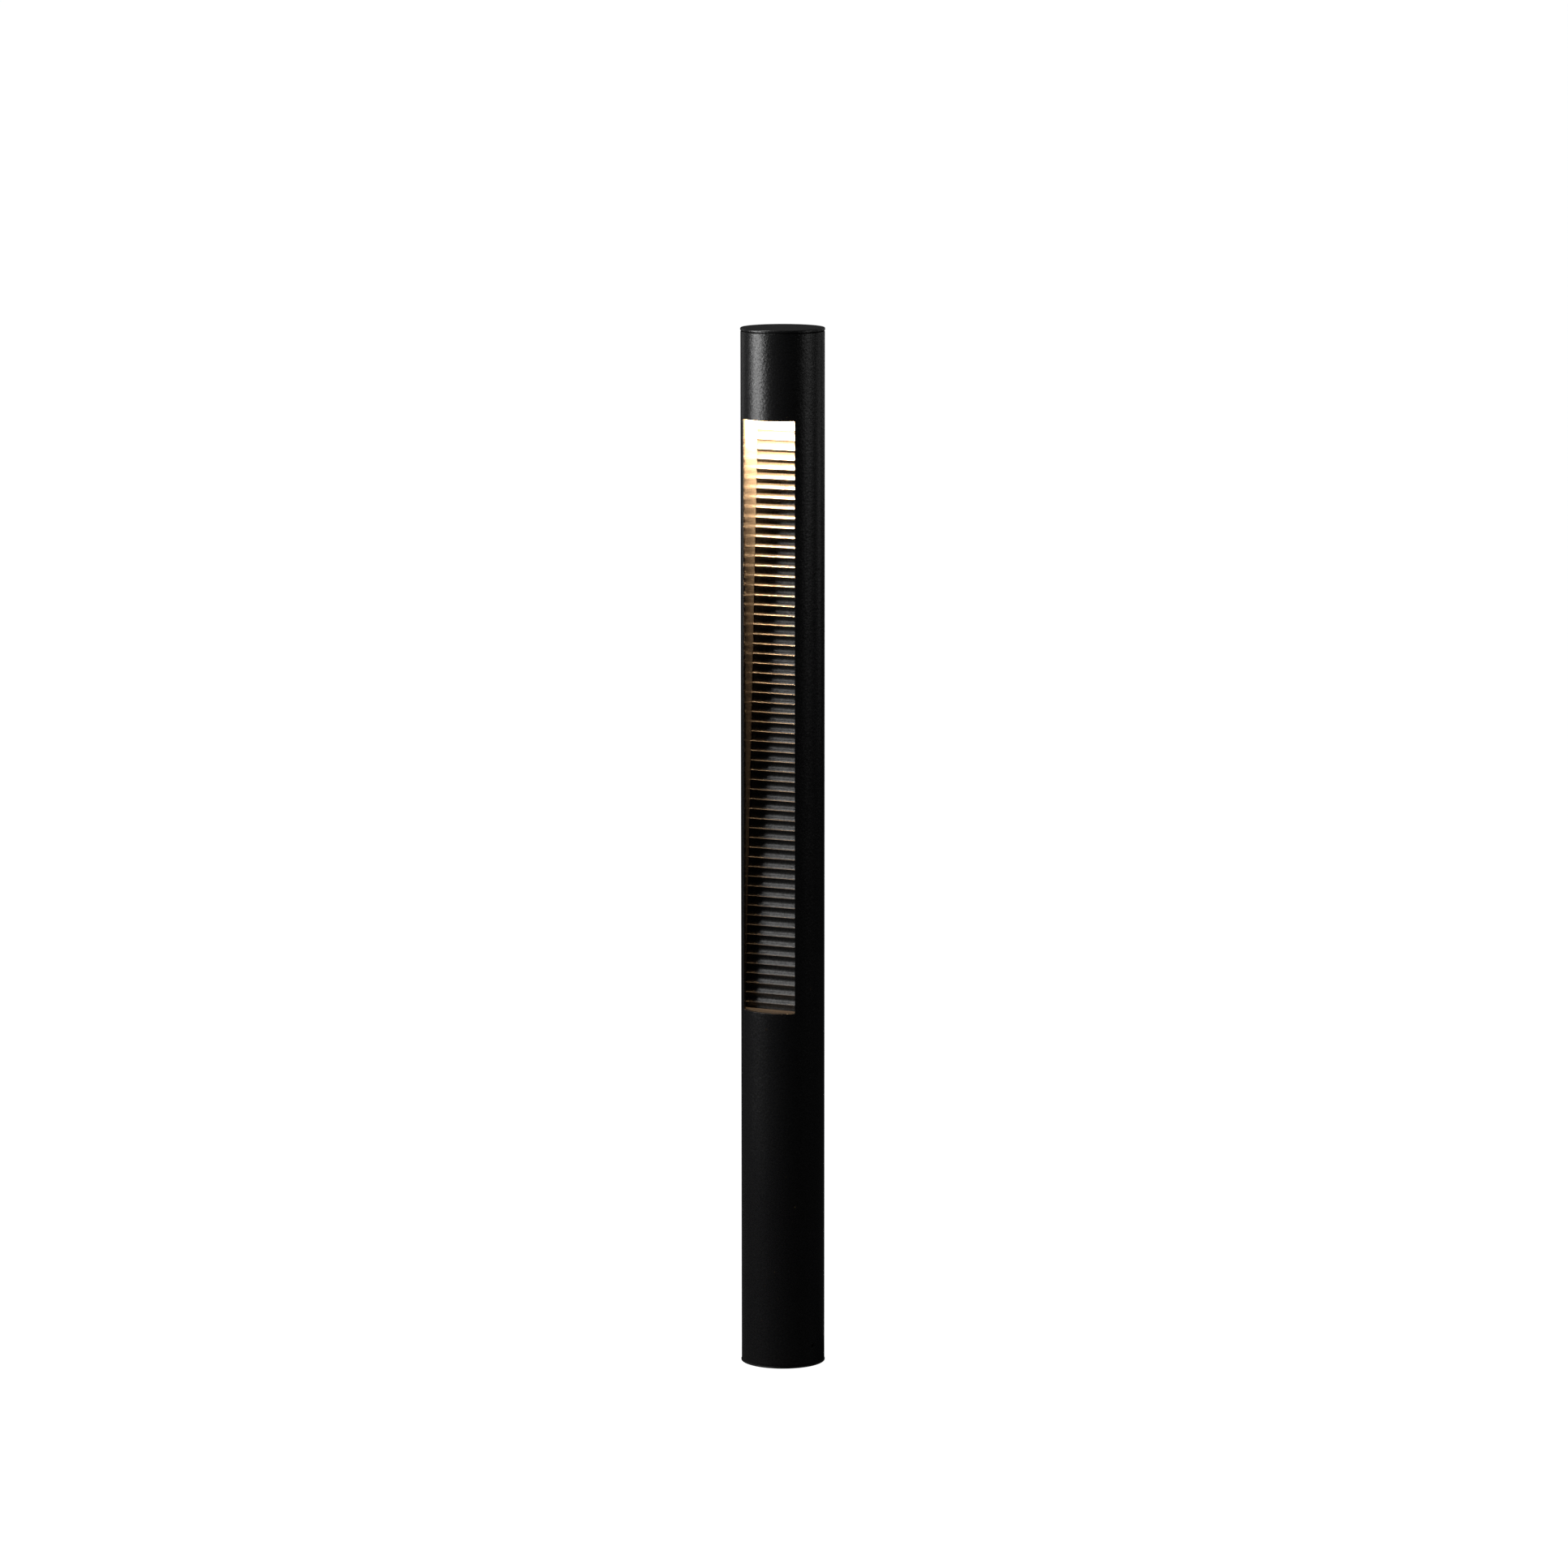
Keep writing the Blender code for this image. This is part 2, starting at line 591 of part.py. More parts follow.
def trough_outline(front_y, low, high, depth):
    """Side view (y, z) of a block from front_y back to this depth behind the ridges."""
    back = [behind_ridges(z, depth)[1:] for z in (low, high)]
    return [(front_y, low), *back, (front_y, high)]


# side walls, back web and sill in one trough that fits the tube's bore
WELL_Z0 = WINDOW_Z0 - 2 * MM
WELL_Z1 = WINDOW_Z1 + 0.6 * MM
INSIDE_Z1 = 940 * MM  # the inner cutter runs out of the trough's open top
BOSS_R = 4.5 * MM
BOSS_H = 5.5 * MM

outline = trough_outline(-50 * MM, WELL_Z0, WELL_Z1, WEB_OUT)
block = built(add_prism, outline, -(WELL_HALF + WEB_T), WELL_HALF + WEB_T)
well = add_object("light_well", block, WELL, post_axis)
starts = [behind_ridges(z, WEB_OUT - OVERRUN) for z in INSERT_SCREW_Z.values()]
bosses = built(add_cylinders, starts, BACKWARD, BOSS_R, BOSS_H + OVERRUN, 24)
boolean(well, "bosses", bosses, "UNION")
bore = built(add_cylinder, (0, 0, 300 * MM), UP, TUBE_IN - GAP, 700 * MM, TUBE_SEGS)
boolean(well, "bore_fit", bore, "INTERSECT")
outline = trough_outline(-70 * MM, WINDOW_Z0, INSIDE_Z1, WEB_IN)
boolean(well, "inside", built(add_prism, outline, -WELL_HALF, WELL_HALF))
starts = [behind_ridges(z, WEB_OUT - 0.6 * MM) for z in INSERT_SCREW_Z.values()]
cutter = built(add_cylinders, starts, BACKWARD, 2.2 * MM, 12 * MM, 20)
starts = [behind_ridges(z, WEB_IN - 2 * MM) for z in PANEL_SCREW_Z.values()]
add_cylinders(cutter, starts, BACKWARD, 1.7 * MM, 6 * MM, 16)
boolean(well, "screw_holes", cutter)

# ---------------------------------------------------------------- ribbed reflector
# hollow flutes across the panel, which meet in narrow rounded ridges
FLUTE_STEPS = 6
EDGE_MARGIN = 0.05 * MM  # face points nearer than this to the panel's ends are left out
PANEL_Z0 = WINDOW_Z0 + GAP
PANEL_HALF = WELL_HALF - GAP

lean = math.atan2(RIDGE_Y_TOP - RIDGE_Y_BOTTOM, WINDOW_Z1 - WINDOW_Z0)
along_panel = Vector((0, math.sin(lean), math.cos(lean)))
off_panel = Vector((0, -math.cos(lean), math.sin(lean)))
panel_foot = Vector((0, RIDGE_Y_BOTTOM, WINDOW_Z0)) - off_panel * FLUTE_DEPTH
pitch = (WINDOW_Z1 - WINDOW_Z0) / math.cos(lean) / RIBS  # along the slope
steep = math.asin(pitch / 2 / FLUTE_R)
flank = RIDGE_R * math.sin(steep)  # half the width of a ridge's rounding


def rise(offset):
    """Height of the face above its valleys at this distance from a ridge's middle."""
    if offset < flank:
        return FLUTE_DEPTH - RIDGE_R + math.sqrt(RIDGE_R**2 - offset**2)
    hollow = FLUTE_R - math.sqrt(FLUTE_R**2 - (pitch / 2 - offset) ** 2)
    return hollow + RIDGE_R * (1 / math.cos(steep) - 1)


face = []
for k in range(-1, RIBS + 1):
    ridge = (RIDGE_Z0 - WINDOW_Z0) / math.cos(lean) + pitch * k
    offsets = [flank + (pitch - 2 * flank) * i / FLUTE_STEPS for i in range(FLUTE_STEPS + 1)]
    for offset in (0, *offsets):
        height = rise(min(offset, pitch - offset))
        point = panel_foot + along_panel * (ridge + offset) + off_panel * height
        if PANEL_Z0 + EDGE_MARGIN < point.z < WINDOW_Z1 - EDGE_MARGIN:
            face.append((point.y, point.z))
outline = [
    (face[0][0], PANEL_Z0),
    *face,
    (face[-1][0], WINDOW_Z1),
    behind_ridges(WINDOW_Z1, PANEL_BACK)[1:],
    behind_ridges(PANEL_Z0, PANEL_BACK)[1:],
]
plate = built(add_prism, outline, -PANEL_HALF, PANEL_HALF)
panel = add_object("rib_panel", plate, WELL, post_axis, smooth=40)
starts = [behind_ridges(z, PANEL_BACK - 3 * MM) for z in PANEL_SCREW_Z.values()]
boolean(panel, "screw_holes", built(add_cylinders, starts, BACKWARD, 1.6 * MM, 6 * MM, 16))
for end, z in PANEL_SCREW_Z.items():
    at = behind_ridges(z, WEB_OUT + 0.45 * MM)
    screw(f"panel_screw_{end}", at, FORWARD, mm(2.7, 1.8), mm(1.3, 4.6), 2 * MM, post_axis)

# ---------------------------------------------------------------- trough fixings
# spacers and long countersunk screws that hold the trough against the window
STANDOFF_IN = 2.3 * MM
STANDOFF_Y1 = 36.4 * MM
INSERT_SCREW_Y = 37.5 * MM

for end, z in INSERT_SCREW_Z.items():
    web_y = ridge_y(z) + WEB_OUT
    profile = ring_profile(STANDOFF_IN, BOSS_R, web_y + BOSS_H + GAP, STANDOFF_Y1)
    spacer = built(add_turned, profile, 24, (0, 0, z), BACKWARD)
    add_object(f"insert_standoff_{end}", spacer, ALU, post_axis)
    screw(
        f"insert_screw_{end}",
        at=(0, INSERT_SCREW_Y, z),
        axis=FORWARD,
        head=mm(4, 2.2),
        shank=(1.9 * MM, INSERT_SCREW_Y - web_y),
        socket=2.5 * MM,
        parent=post_axis,
        rim=0.2 * MM,
    )

# ---------------------------------------------------------------- lead behind the trough
LEAD_X = 14 * MM
HEAD_PLUG_XY = (LEAD_X, 20.5 * MM)
LEAD_DEPTH = WEB_OUT + 4.5 * MM  # of the lead's middle, behind the ridges
CLIP_Z = 620 * MM
CLIP_HALF = 7 * MM
CLIP_HALF_H = 4 * MM
# (radius, height above the joint)
INLINE_PLUG = mm_points(
    (0, -7), (4.6, -7), (4.6, 0.3), (7, 0.3), (7, 18.3), (5.5, 21.3), (0, 21.3)
)
# (radius, z)
HEAD_SOCKET = mm_points(
    (0, 896), (4, 896), (5, 898), (5, 912), (3.4, 912), (3.4, 905), (0, 905)
)

plug = built(add_turned, INLINE_PLUG, 24, (0, 0, JOINT_Z))
add_object("inline_plug", plug, CONNECTOR, post_axis)

path = [(0, 0, JOINT_Z + 21.3 * MM + GAP), *mm_points((2, 0, 333), (11, -3, 356))]
path += [(LEAD_X, ridge_y(z) + LEAD_DEPTH, z) for z in mm(390, 500, 620, 740, 850)]
path += [(LEAD_X, 20 * MM, 884 * MM), (*HEAD_PLUG_XY, 896 * MM - GAP)]
add_object("dc_lead", built(add_lead, path, LEAD_R, 8, 3), LEAD, post_axis)

lead_y = ridge_y(CLIP_Z) + LEAD_DEPTH
box = built(
    add_bevelled_box,
    (LEAD_X - CLIP_HALF, lead_y - 4 * MM, CLIP_Z - CLIP_HALF_H),
    (LEAD_X + CLIP_HALF, lead_y + 4.6 * MM, CLIP_Z + CLIP_HALF_H),
    0.8 * MM,
    1,
)
clip = add_object("lead_clip", box, CONNECTOR, post_axis, smooth=0)
start = (LEAD_X, lead_y, CLIP_Z - 10 * MM)
boolean(clip, "bore", built(add_cylinder, start, UP, 3.1 * MM, 20 * MM, 20))

socket = built(add_turned, HEAD_SOCKET, 20, (*HEAD_PLUG_XY, 0))
add_object("head_socket", socket, CONNECTOR, post_axis)

# ---------------------------------------------------------------- head, which lifts out with the cap
CAP_R = 40.25 * MM
CAP_FILLET = 1.0 * MM  # round the top edge
CEILING_Z = CAP_Z0 - 0.6 * MM
SKIRT_IN = 33.4 * MM
SKIRT_Z0 = 982 * MM
HEAD_POST_X = 26 * MM
SINK_Z0 = 924.9 * MM
SINK_PLATE = 934 * MM  # underside of the plate inside the heat sink's rim
SINK_Z1 = 940 * MM
SINK_R = 36.4 * MM
SINK_Y = 12.4 * MM  # back of the rim, cut off square
SINK_CHAMFER = 0.5 * MM
RIM_IN_R = 30.4 * MM
RIM_IN_Y = 6.4 * MM
POST_Z0 = SINK_Z1 + GAP

# cap with its skirt and two posts
profile = [(0, HEIGHT)]
for angle in map(math.radians, (90, 60, 30, 0)):
    radius = CAP_R - CAP_FILLET + CAP_FILLET * math.cos(angle)
    profile.append((radius, HEIGHT - CAP_FILLET + CAP_FILLET * math.sin(angle)))
profile += [
    (CAP_R, CAP_Z0),
    (SPIGOT_R, CAP_Z0),
    (SPIGOT_R, SKIRT_Z0),
    (SKIRT_IN, SKIRT_Z0),
    (SKIRT_IN, CEILING_Z),
    (0, CEILING_Z),
]
cap = add_object("cap", built(add_turned, profile, TUBE_SEGS), POWDER, head_axis)
starts = mirrored(HEAD_POST_X, 0, POST_Z0)
posts = built(add_cylinders, starts, UP, 4 * MM, CAP_Z0 + 0.5 * MM - POST_Z0, 24)
boolean(cap, "posts", posts, "UNION")
starts = mirrored(HEAD_POST_X, 0, SINK_Z1 - 5 * MM)
boolean(cap, "tapped_holes", built(add_cylinders, starts, UP, 1.9 * MM, 22 * MM, 16))

z = TUBE_Z1 + GAP
profile = ring_profile(37 * MM, 39.2 * MM, z, z + 0.4 * MM)
add_object("cap_gasket", built(add_turned, profile, TUBE_SEGS), RUBBER, head_axis)

# heat sink
FIN_PITCH = 5.8 * MM
FIN_HALF_T = 0.9 * MM
FIN_R = 33 * MM  # circle the fins' ends lie on
FIN_TOP = 968 * MM
BOARD_SCREW_X = 15 * MM
BOARD_SCREW_Y = -5 * MM
RETAINER_SCREWS = {"front": mm(0, -34.4), "left": mm(-20, 10.4), "right": mm(20, 10.4)}
RETAINER_HOLE_R = 1.25 * MM

profile = [
    (0, SINK_Z0),
    (SINK_R, SINK_Z0),
    (SINK_R, SINK_Z1 - SINK_CHAMFER),
    (SINK_R - SINK_CHAMFER, SINK_Z1),
    (0, SINK_Z1),
]
sink = add_object("heat_sink", built(add_turned, profile, 48), ALU, head_axis)
fins = bmesh.new()
for i in range(-3, 4):
    x = FIN_PITCH * i
    half = math.sqrt(FIN_R**2 - x**2)
    add_box(fins, (x - FIN_HALF_T, -half, SINK_Z1 - OVERRUN), (x + FIN_HALF_T, half, FIN_TOP))
boolean(sink, "fins", fins, "UNION")
step = built(add_box, (-50 * MM, SINK_Y, 900 * MM), (50 * MM, 50 * MM, SINK_PLATE))
boolean(sink, "rear_step", step)
rim_inside = d_outline(RIM_IN_R, RIM_IN_Y)
boolean(sink, "lamp_chamber", built(add_prism, rim_inside, 900 * MM, SINK_PLATE, "Z"))
z = SINK_PLATE - 2 * MM
cutter = built(add_cylinders, mirrored(HEAD_POST_X, 0, z), UP, 2.2 * MM, 10 * MM, 16)
starts = mirrored(BOARD_SCREW_X, BOARD_SCREW_Y, z)
add_cylinders(cutter, starts, UP, 1.6 * MM, 6 * MM, 14)
starts = [(*xy, SINK_Z0 - 2 * MM) for xy in RETAINER_SCREWS.values()]
add_cylinders(cutter, starts, UP, RETAINER_HOLE_R, 8.4 * MM, 14)
boolean(sink, "screw_holes", cutter)

for side, at in zip(("left", "right"), mirrored(HEAD_POST_X, 0, SINK_PLATE - GAP)):
    screw(f"head_bolt_{side}", at, UP, mm(3.5, 3), mm(1.6, 20), 3 * MM, head_axis)

# thermal pad, LED board and emitter, stacked down from the plate
PAD_Z1 = SINK_PLATE - GAP
PAD_Z0 = PAD_Z1 - 0.6 * MM
BOARD_Z1 = PAD_Z0 - GAP
BOARD_Z0 = BOARD_Z1 - 1.6 * MM
# (radius, height above the board's underside)
EMITTER = mm_points((0, -1.3), (6.6, -1.3), (7, -0.9), (7, -0.3), (0, -0.3))

board_holes = mirrored(BOARD_SCREW_X, BOARD_SCREW_Y, 925 * MM)
box = built(add_box, (-18 * MM, -15 * MM, PAD_Z0), (18 * MM, 5.4 * MM, PAD_Z1))
pad = add_object("thermal_pad", box, PAD, head_axis, smooth=0)
boolean(pad, "holes", built(add_cylinders, board_holes, UP, 1.9 * MM, 15 * MM, 14))

box = built(add_box, (-19 * MM, -16 * MM, BOARD_Z0), (19 * MM, 6 * MM, BOARD_Z1))
board = add_object("led_board", box, BOARD, head_axis, smooth=0)
boolean(board, "holes", built(add_cylinders, board_holes, UP, 1.7 * MM, 15 * MM, 14))

emitter = built(add_turned, EMITTER, 32, (0, -2 * MM, BOARD_Z0))
add_object("led_emitter", emitter, PHOSPHOR, head_axis)
seats = mirrored(BOARD_SCREW_X, BOARD_SCREW_Y, BOARD_Z0 - GAP)
for side, at in zip(("left", "right"), seats):
    screw(f"board_screw_{side}", at, UP, mm(2.7, 1.8), mm(1.3, 6.2), 2 * MM, head_axis)

# D-shaped gasket, lens and retainer, stacked down from the rim
EDGE_INSET = 0.2 * MM
GASKET_Z1 = SINK_Z0 - GAP
GASKET_Z0 = GASKET_Z1 - 1 * MM
LENS_R = 32.6 * MM
LENS_Y = 8.4 * MM
LENS_Z1 = GASKET_Z0 - GAP
LENS_Z0 = LENS_Z1 - 3 * MM
RETAINER_Z1 = LENS_Z0 - GAP
RETAINER_Z0 = RETAINER_Z1 - 2 * MM
COUNTERBORE_R = 1.8 * MM
COUNTERBORE_Z = 919.2 * MM

outline = d_outline(LENS_R - EDGE_INSET, LENS_Y - EDGE_INSET)
plate = built(add_prism, outline, GASKET_Z0, GASKET_Z1, "Z")
seal = add_object("lens_gasket", plate, RUBBER, head_axis)
outline = d_outline(RIM_IN_R + EDGE_INSET, RIM_IN_Y + EDGE_INSET)
boolean(seal, "opening", built(add_prism, outline, 920 * MM, 930 * MM, "Z"))

plate = built(add_prism, d_outline(LENS_R, LENS_Y), LENS_Z0, LENS_Z1, "Z")
add_object("diffuser_lens", plate, LENS, head_axis)

outline = d_outline(SINK_R - EDGE_INSET, SINK_Y - EDGE_INSET, 32)
plate = built(add_prism, outline, RETAINER_Z0, RETAINER_Z1, "Z")
retainer = add_object("lens_retainer", plate, ALU, head_axis)
boolean(retainer, "opening", built(add_prism, rim_inside, 910 * MM, 930 * MM, "Z"))
counterbore = [
    (0, 910 * MM),
    (COUNTERBORE_R, 910 * MM),
    (COUNTERBORE_R, COUNTERBORE_Z),
    (RETAINER_HOLE_R, COUNTERBORE_Z),
    (RETAINER_HOLE_R, 930 * MM),
    (0, 930 * MM),
]
cutter = bmesh.new()
for xy in RETAINER_SCREWS.values():
    add_turned(cutter, counterbore, 14, (*xy, 0))
boolean(retainer, "screw_holes", cutter)
for place, xy in RETAINER_SCREWS.items():
    at = (*xy, COUNTERBORE_Z - GAP)
    screw(f"retainer_screw_{place}", at, UP, mm(1.5, 1.1), mm(0.95, 10), 1.3 * MM, head_axis)

# plug and pigtail; the profile is (radius, z)
HEAD_PLUG = mm_points(
    (0, 905.5), (3, 905.5), (3, 912.3), (5, 912.3), (5, 923), (4, 925), (0, 925)
)
plug = built(add_turned, HEAD_PLUG, 20, (*HEAD_PLUG_XY, 0))
add_object("head_plug", plug, CONNECTOR, head_axis)

path = [
    (*HEAD_PLUG_XY, 925 * MM + GAP),
    *mm_points((14, 19.8, 928.6), (13, 16.5, 930)),
    (12 * MM, SINK_Y + GAP, 930 * MM),
]
add_object("led_pigtail", built(add_lead, path, 1.4 * MM, 8, 4, FORWARD), LEAD, head_axis)

# ---------------------------------------------------------------- grub screws, each on its own axis
GRUB_SUNK = 0.1 * MM  # below the tube's surface
GRUB_CHAMFER = 0.25 * MM  # outer end
GRUB_POINT = 0.7 * MM  # inner end

for name, (angle, z, hole_r, _, flats) in GRUBS.items():
    outward = radial(angle)
    at = outward * (TUBE_R - GRUB_SUNK) + Vector((0, 0, z))
    holder = axis_empty(f"{name}_axis", at, post_axis)
    radius = hole_r - GAP
    profile = [
        (0, 0),
        (radius - GRUB_CHAMFER, 0),
        (radius, GRUB_CHAMFER),
        (radius, TUBE_WALL - GRUB_POINT),
        (radius - GRUB_POINT, TUBE_WALL),
        (0, TUBE_WALL),
    ]
    grub = add_object(name, built(add_turned, profile, 24, at, -outward), STEEL, holder)
    start = at + outward * OVERRUN
    boolean(grub, "socket", built(add_hexagon, start, -outward, flats, 2.6 * MM))
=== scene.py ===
"""A round black light post, upright on z = 0 about the Z axis, its window facing -Y.

A lamp under the cap shines down a light well onto a leaning, ribbed panel in the window.
The driver and its wiring stand on a tray inside the foot. Left is -X, right +X, the back +Y.
Pieces are drawn in millimetres and scaled to metres at the end.
"""
import json
import math

import bmesh
import bpy
from mathutils import Matrix, Vector


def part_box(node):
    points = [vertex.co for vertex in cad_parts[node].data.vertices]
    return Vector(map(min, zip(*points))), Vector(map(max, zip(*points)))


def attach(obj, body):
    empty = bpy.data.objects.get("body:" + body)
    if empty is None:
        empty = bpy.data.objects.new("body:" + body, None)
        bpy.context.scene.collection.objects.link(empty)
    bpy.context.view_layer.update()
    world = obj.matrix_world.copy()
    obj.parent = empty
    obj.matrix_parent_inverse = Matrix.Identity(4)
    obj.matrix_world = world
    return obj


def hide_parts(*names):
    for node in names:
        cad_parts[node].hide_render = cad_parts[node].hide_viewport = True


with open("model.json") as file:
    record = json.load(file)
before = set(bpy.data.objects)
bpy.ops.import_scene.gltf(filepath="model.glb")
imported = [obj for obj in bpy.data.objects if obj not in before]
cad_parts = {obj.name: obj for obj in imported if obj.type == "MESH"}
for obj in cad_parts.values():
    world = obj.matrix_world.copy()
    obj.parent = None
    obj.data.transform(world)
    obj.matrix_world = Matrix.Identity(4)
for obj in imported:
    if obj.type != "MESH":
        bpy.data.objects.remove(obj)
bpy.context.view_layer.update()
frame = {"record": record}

RECORD = frame["record"]
BODY = {n: b for b, ns in RECORD["behaviour"]["bodies"].items() for n in ns}
SCENE = bpy.context.scene

ORIGIN = (0, 0, 0)
UP, DOWN = (0, 0, 1), (0, 0, -1)
FRONT, BACK = (0, -1, 0), (0, 1, 0)
SIDES = {"left": -1, "right": 1}
CUT, ADD, KEEP = "DIFFERENCE", "UNION", "INTERSECT"


# ---------------------------------------------------------------- shared dimensions
def mm(metres):
    return round(metres * 1000, 4)


tube_lo, tube_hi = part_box("post_tube")
cap_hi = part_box("cap")[1]
base_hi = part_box("base_flange")[1]
panel_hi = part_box("rib_panel")[1]
well_lo, well_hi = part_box("light_well")
HEIGHT = mm(cap_hi.z)
TUBE_R = mm(tube_hi.x)
TUBE_IN = TUBE_R - 3
TUBE_Z0, TUBE_Z1 = mm(tube_lo.z), mm(tube_hi.z)
LIP_R = mm(base_hi.x)
LIP_H = 1.3
FLOOR_H = 10.0
SPIGOT_R, SPIGOT_IN = TUBE_IN - 0.4, 30.6
SPIGOT_TOP = mm(base_hi.z)
CAP_R = mm(cap_hi.x)
CAP_Z0 = HEIGHT - 2.4
GAP = 0.3  # clearance between neighbouring pieces
ROUND = 240  # segments of the large round pieces

WINDOW_HALF = 27.0
WELL_HALF = mm(panel_hi.x) + GAP
WELL_OVERLAP_LOW, WELL_OVERLAP_HIGH = 2, 0.6  # how far the well reaches past the window
WINDOW_Z0 = mm(well_lo.z) + WELL_OVERLAP_LOW
WINDOW_Z1 = mm(well_hi.z) - WELL_OVERLAP_HIGH
RIBS = 61
FLUTE_R = 6.0  # hollow between two ribs
RIDGE_R = 0.35  # nose of a rib
NOSE_TOP, NOSE_BOTTOM = 8.2, -19.0  # y of the noses at the window's top and bottom
PITCH = (WINDOW_Z1 - WINDOW_Z0) / RIBS
SAGITTA = FLUTE_R - math.sqrt(FLUTE_R**2 - (PITCH / 2) ** 2)
RIDGE_Z0 = WINDOW_Z0 + 5.6
PANEL_BACK = SAGITTA + 2.2  # distances behind the noses
WEB_IN = PANEL_BACK + GAP
WEB_OUT = WEB_IN + 1.5

GRUB_Z, CAP_GRUB_Z = 20.0, 989.0
GRUB_ANGLES = {"right": 71.5, "left": -71.5, "rear": 180.0}
INSERT_Z = {"lower": 390.0, "upper": 880.0}
PANEL_SCREW_Z = {"lower": RIDGE_Z0 + 10 * PITCH, "upper": RIDGE_Z0 + 50 * PITCH}
TRAY_SCREW_X, TRAY_SCREW_Y = 15, 19.9
STUD_AT = (0, -22, 0)
HEAD_LEAD_X, HEAD_LEAD_Y = 14, 20.5
EMITTER_Y = -2


def nose_y(z):
    """y of the ribs' noses at height z."""
    return NOSE_TOP + (NOSE_BOTTOM - NOSE_TOP) * (WINDOW_Z1 - z) / (WINDOW_Z1 - WINDOW_Z0)


def web_back(z):
    """y of the back of the light well's web at height z."""
    return nose_y(z) + WEB_OUT


def radial(angle):
    """Unit direction at this angle from the window's middle, positive towards +X."""
    a = math.radians(angle)
    return Vector((math.sin(a), -math.cos(a), 0))


# ---------------------------------------------------------------- outlines and profiles
def rounded(points, steps=4, closed=False):
    """The polyline with each corner (x, y, radius) turned into an arc."""
    out, count = [], len(points)
    for i, point in enumerate(points):
        corner = Vector(point[:2])
        radius = point[2] if len(point) > 2 else 0
        if not radius or (not closed and i in (0, count - 1)):
            out.append(tuple(corner))
            continue
        before = Vector(points[i - 1][:2]) - corner
        after = Vector(points[(i + 1) % count][:2]) - corner
        room_before, room_after = before.length, after.length
        before.normalize()
        after.normalize()
        half = before.angle(after) / 2
        cut = min(radius / math.tan(half), 0.48 * room_before, 0.48 * room_after)
        r = cut * math.tan(half)
        centre = corner + (before + after).normalized() * (r / math.sin(half))
        v0, v1 = corner + before * cut - centre, corner + after * cut - centre
        whole = v0.angle(v1)
        for k in range(steps + 1):
            t = k / steps
            arm = (v0 * math.sin((1 - t) * whole) + v1 * math.sin(t * whole)) / math.sin(whole)
            out.append(tuple(centre + arm))
    return out


def d_outline(radius, chord_y):
    """The outline of a disc of this radius cut off square at y = chord_y."""
    segs = 96
    first = math.asin(chord_y / radius)
    a0, a1 = math.pi - first, math.tau + first
    angles = [a0 + (a1 - a0) * i / segs for i in range(segs + 1)]
    return [(radius * math.cos(a), radius * math.sin(a)) for a in angles]


def smooth_path(controls, steps):
    """Points of a smooth path through the controls."""
    c = [Vector(p) for p in controls]
    c = [2 * c[0] - c[1], *c, 2 * c[-1] - c[-2]]
    points = []
    for a, b, d, e in zip(c, c[1:], c[2:], c[3:]):
        linear, square = d - a, 2 * a - 5 * b + 4 * d - e
        cubic = 3 * b - a - 3 * d + e
        for i in range(steps):
            t = i / steps
            points.append(0.5 * (2 * b + linear * t + square * t**2 + cubic * t**3))
    points.append(c[-2])
    return points


def hexagon(across, corner=1e9, turn=0.0):
    """Radius of a hexagon this wide across its flats, its corners turned down to a circle."""

    def radius_at(a):
        return min(across / 2 / math.cos(((a + turn) % (math.tau / 6)) - math.pi / 6), corner)

    return radius_at


def ridged(radius, depth, count):
    """Radius of a round grip with this many ridges."""

    def radius_at(a):
        return radius - depth * (0.5 - 0.5 * math.cos(count * a)) ** 0.6

    return radius_at


def thread(radius, z0, z1, pitch, depth, per=5):
    """Rings of a screw thread, this many per turn."""
    count = max(3, int((z1 - z0) / pitch * per))
    rings = []
    for j in range(count + 1):
        z = z0 + (z1 - z0) * j / count
        fade = max(0.0, min(1.0, (z - z0) / pitch, (z1 - z) / pitch))

        def radius_at(a, z=z, fade=fade):
            return radius - depth * fade * abs(2 * ((z / pitch - a / math.tau) % 1.0) - 1)

        rings.append((radius_at, z))
    return rings


# ---------------------------------------------------------------- solids
# Each of these returns a mesh. Most can add to the mesh given as `into` instead.
def target(into):
    return bmesh.new() if into is None else into


def bridge(bm, a, b):
    """A band of faces between two rings of as many vertices."""
    count = len(a)
    for i in range(count):
        n = (i + 1) % count
        bm.faces.new((a[i], a[n], b[n], b[i]))


def loft(rings, segs=48, at=ORIGIN, axis=UP, closed=False, into=None):
    """Rings of (radius, height) about an axis. A radius may be a function of the angle.

    A ring of no radius is a point.
    """
    bm = target(into)
    turn = UP_VECTOR.rotation_difference(Vector(axis)).to_matrix().to_4x4()
    place = Matrix.Translation(at) @ turn
    made = []
    for radius, z in rings:
        if not callable(radius) and abs(radius) < 1e-9:
            made.append([bm.verts.new(place @ Vector((0, 0, z)))])
            continue
        ring = []
        for i in range(segs):
            a = math.tau * i / segs
            r = radius(a) if callable(radius) else radius
            ring.append(bm.verts.new(place @ Vector((r * math.cos(a), r * math.sin(a), z))))
        made.append(ring)
    pairs = list(zip(made, made[1:]))
    if closed:
        pairs.append((made[-1], made[0]))
    for a, b in pairs:
        if len(a) > 1 and len(b) > 1:
            bridge(bm, a, b)
        elif len(b) > 1:
            for i in range(segs):
                bm.faces.new((a[0], b[(i + 1) % segs], b[i]))
        elif len(a) > 1:
            for i in range(segs):
                bm.faces.new((a[i], a[(i + 1) % segs], b[0]))
    if not closed:
        for ring in (made[0], made[-1]):
            if len(ring) > 1:
                bm.faces.new(ring)
    return bm


UP_VECTOR = Vector(UP)


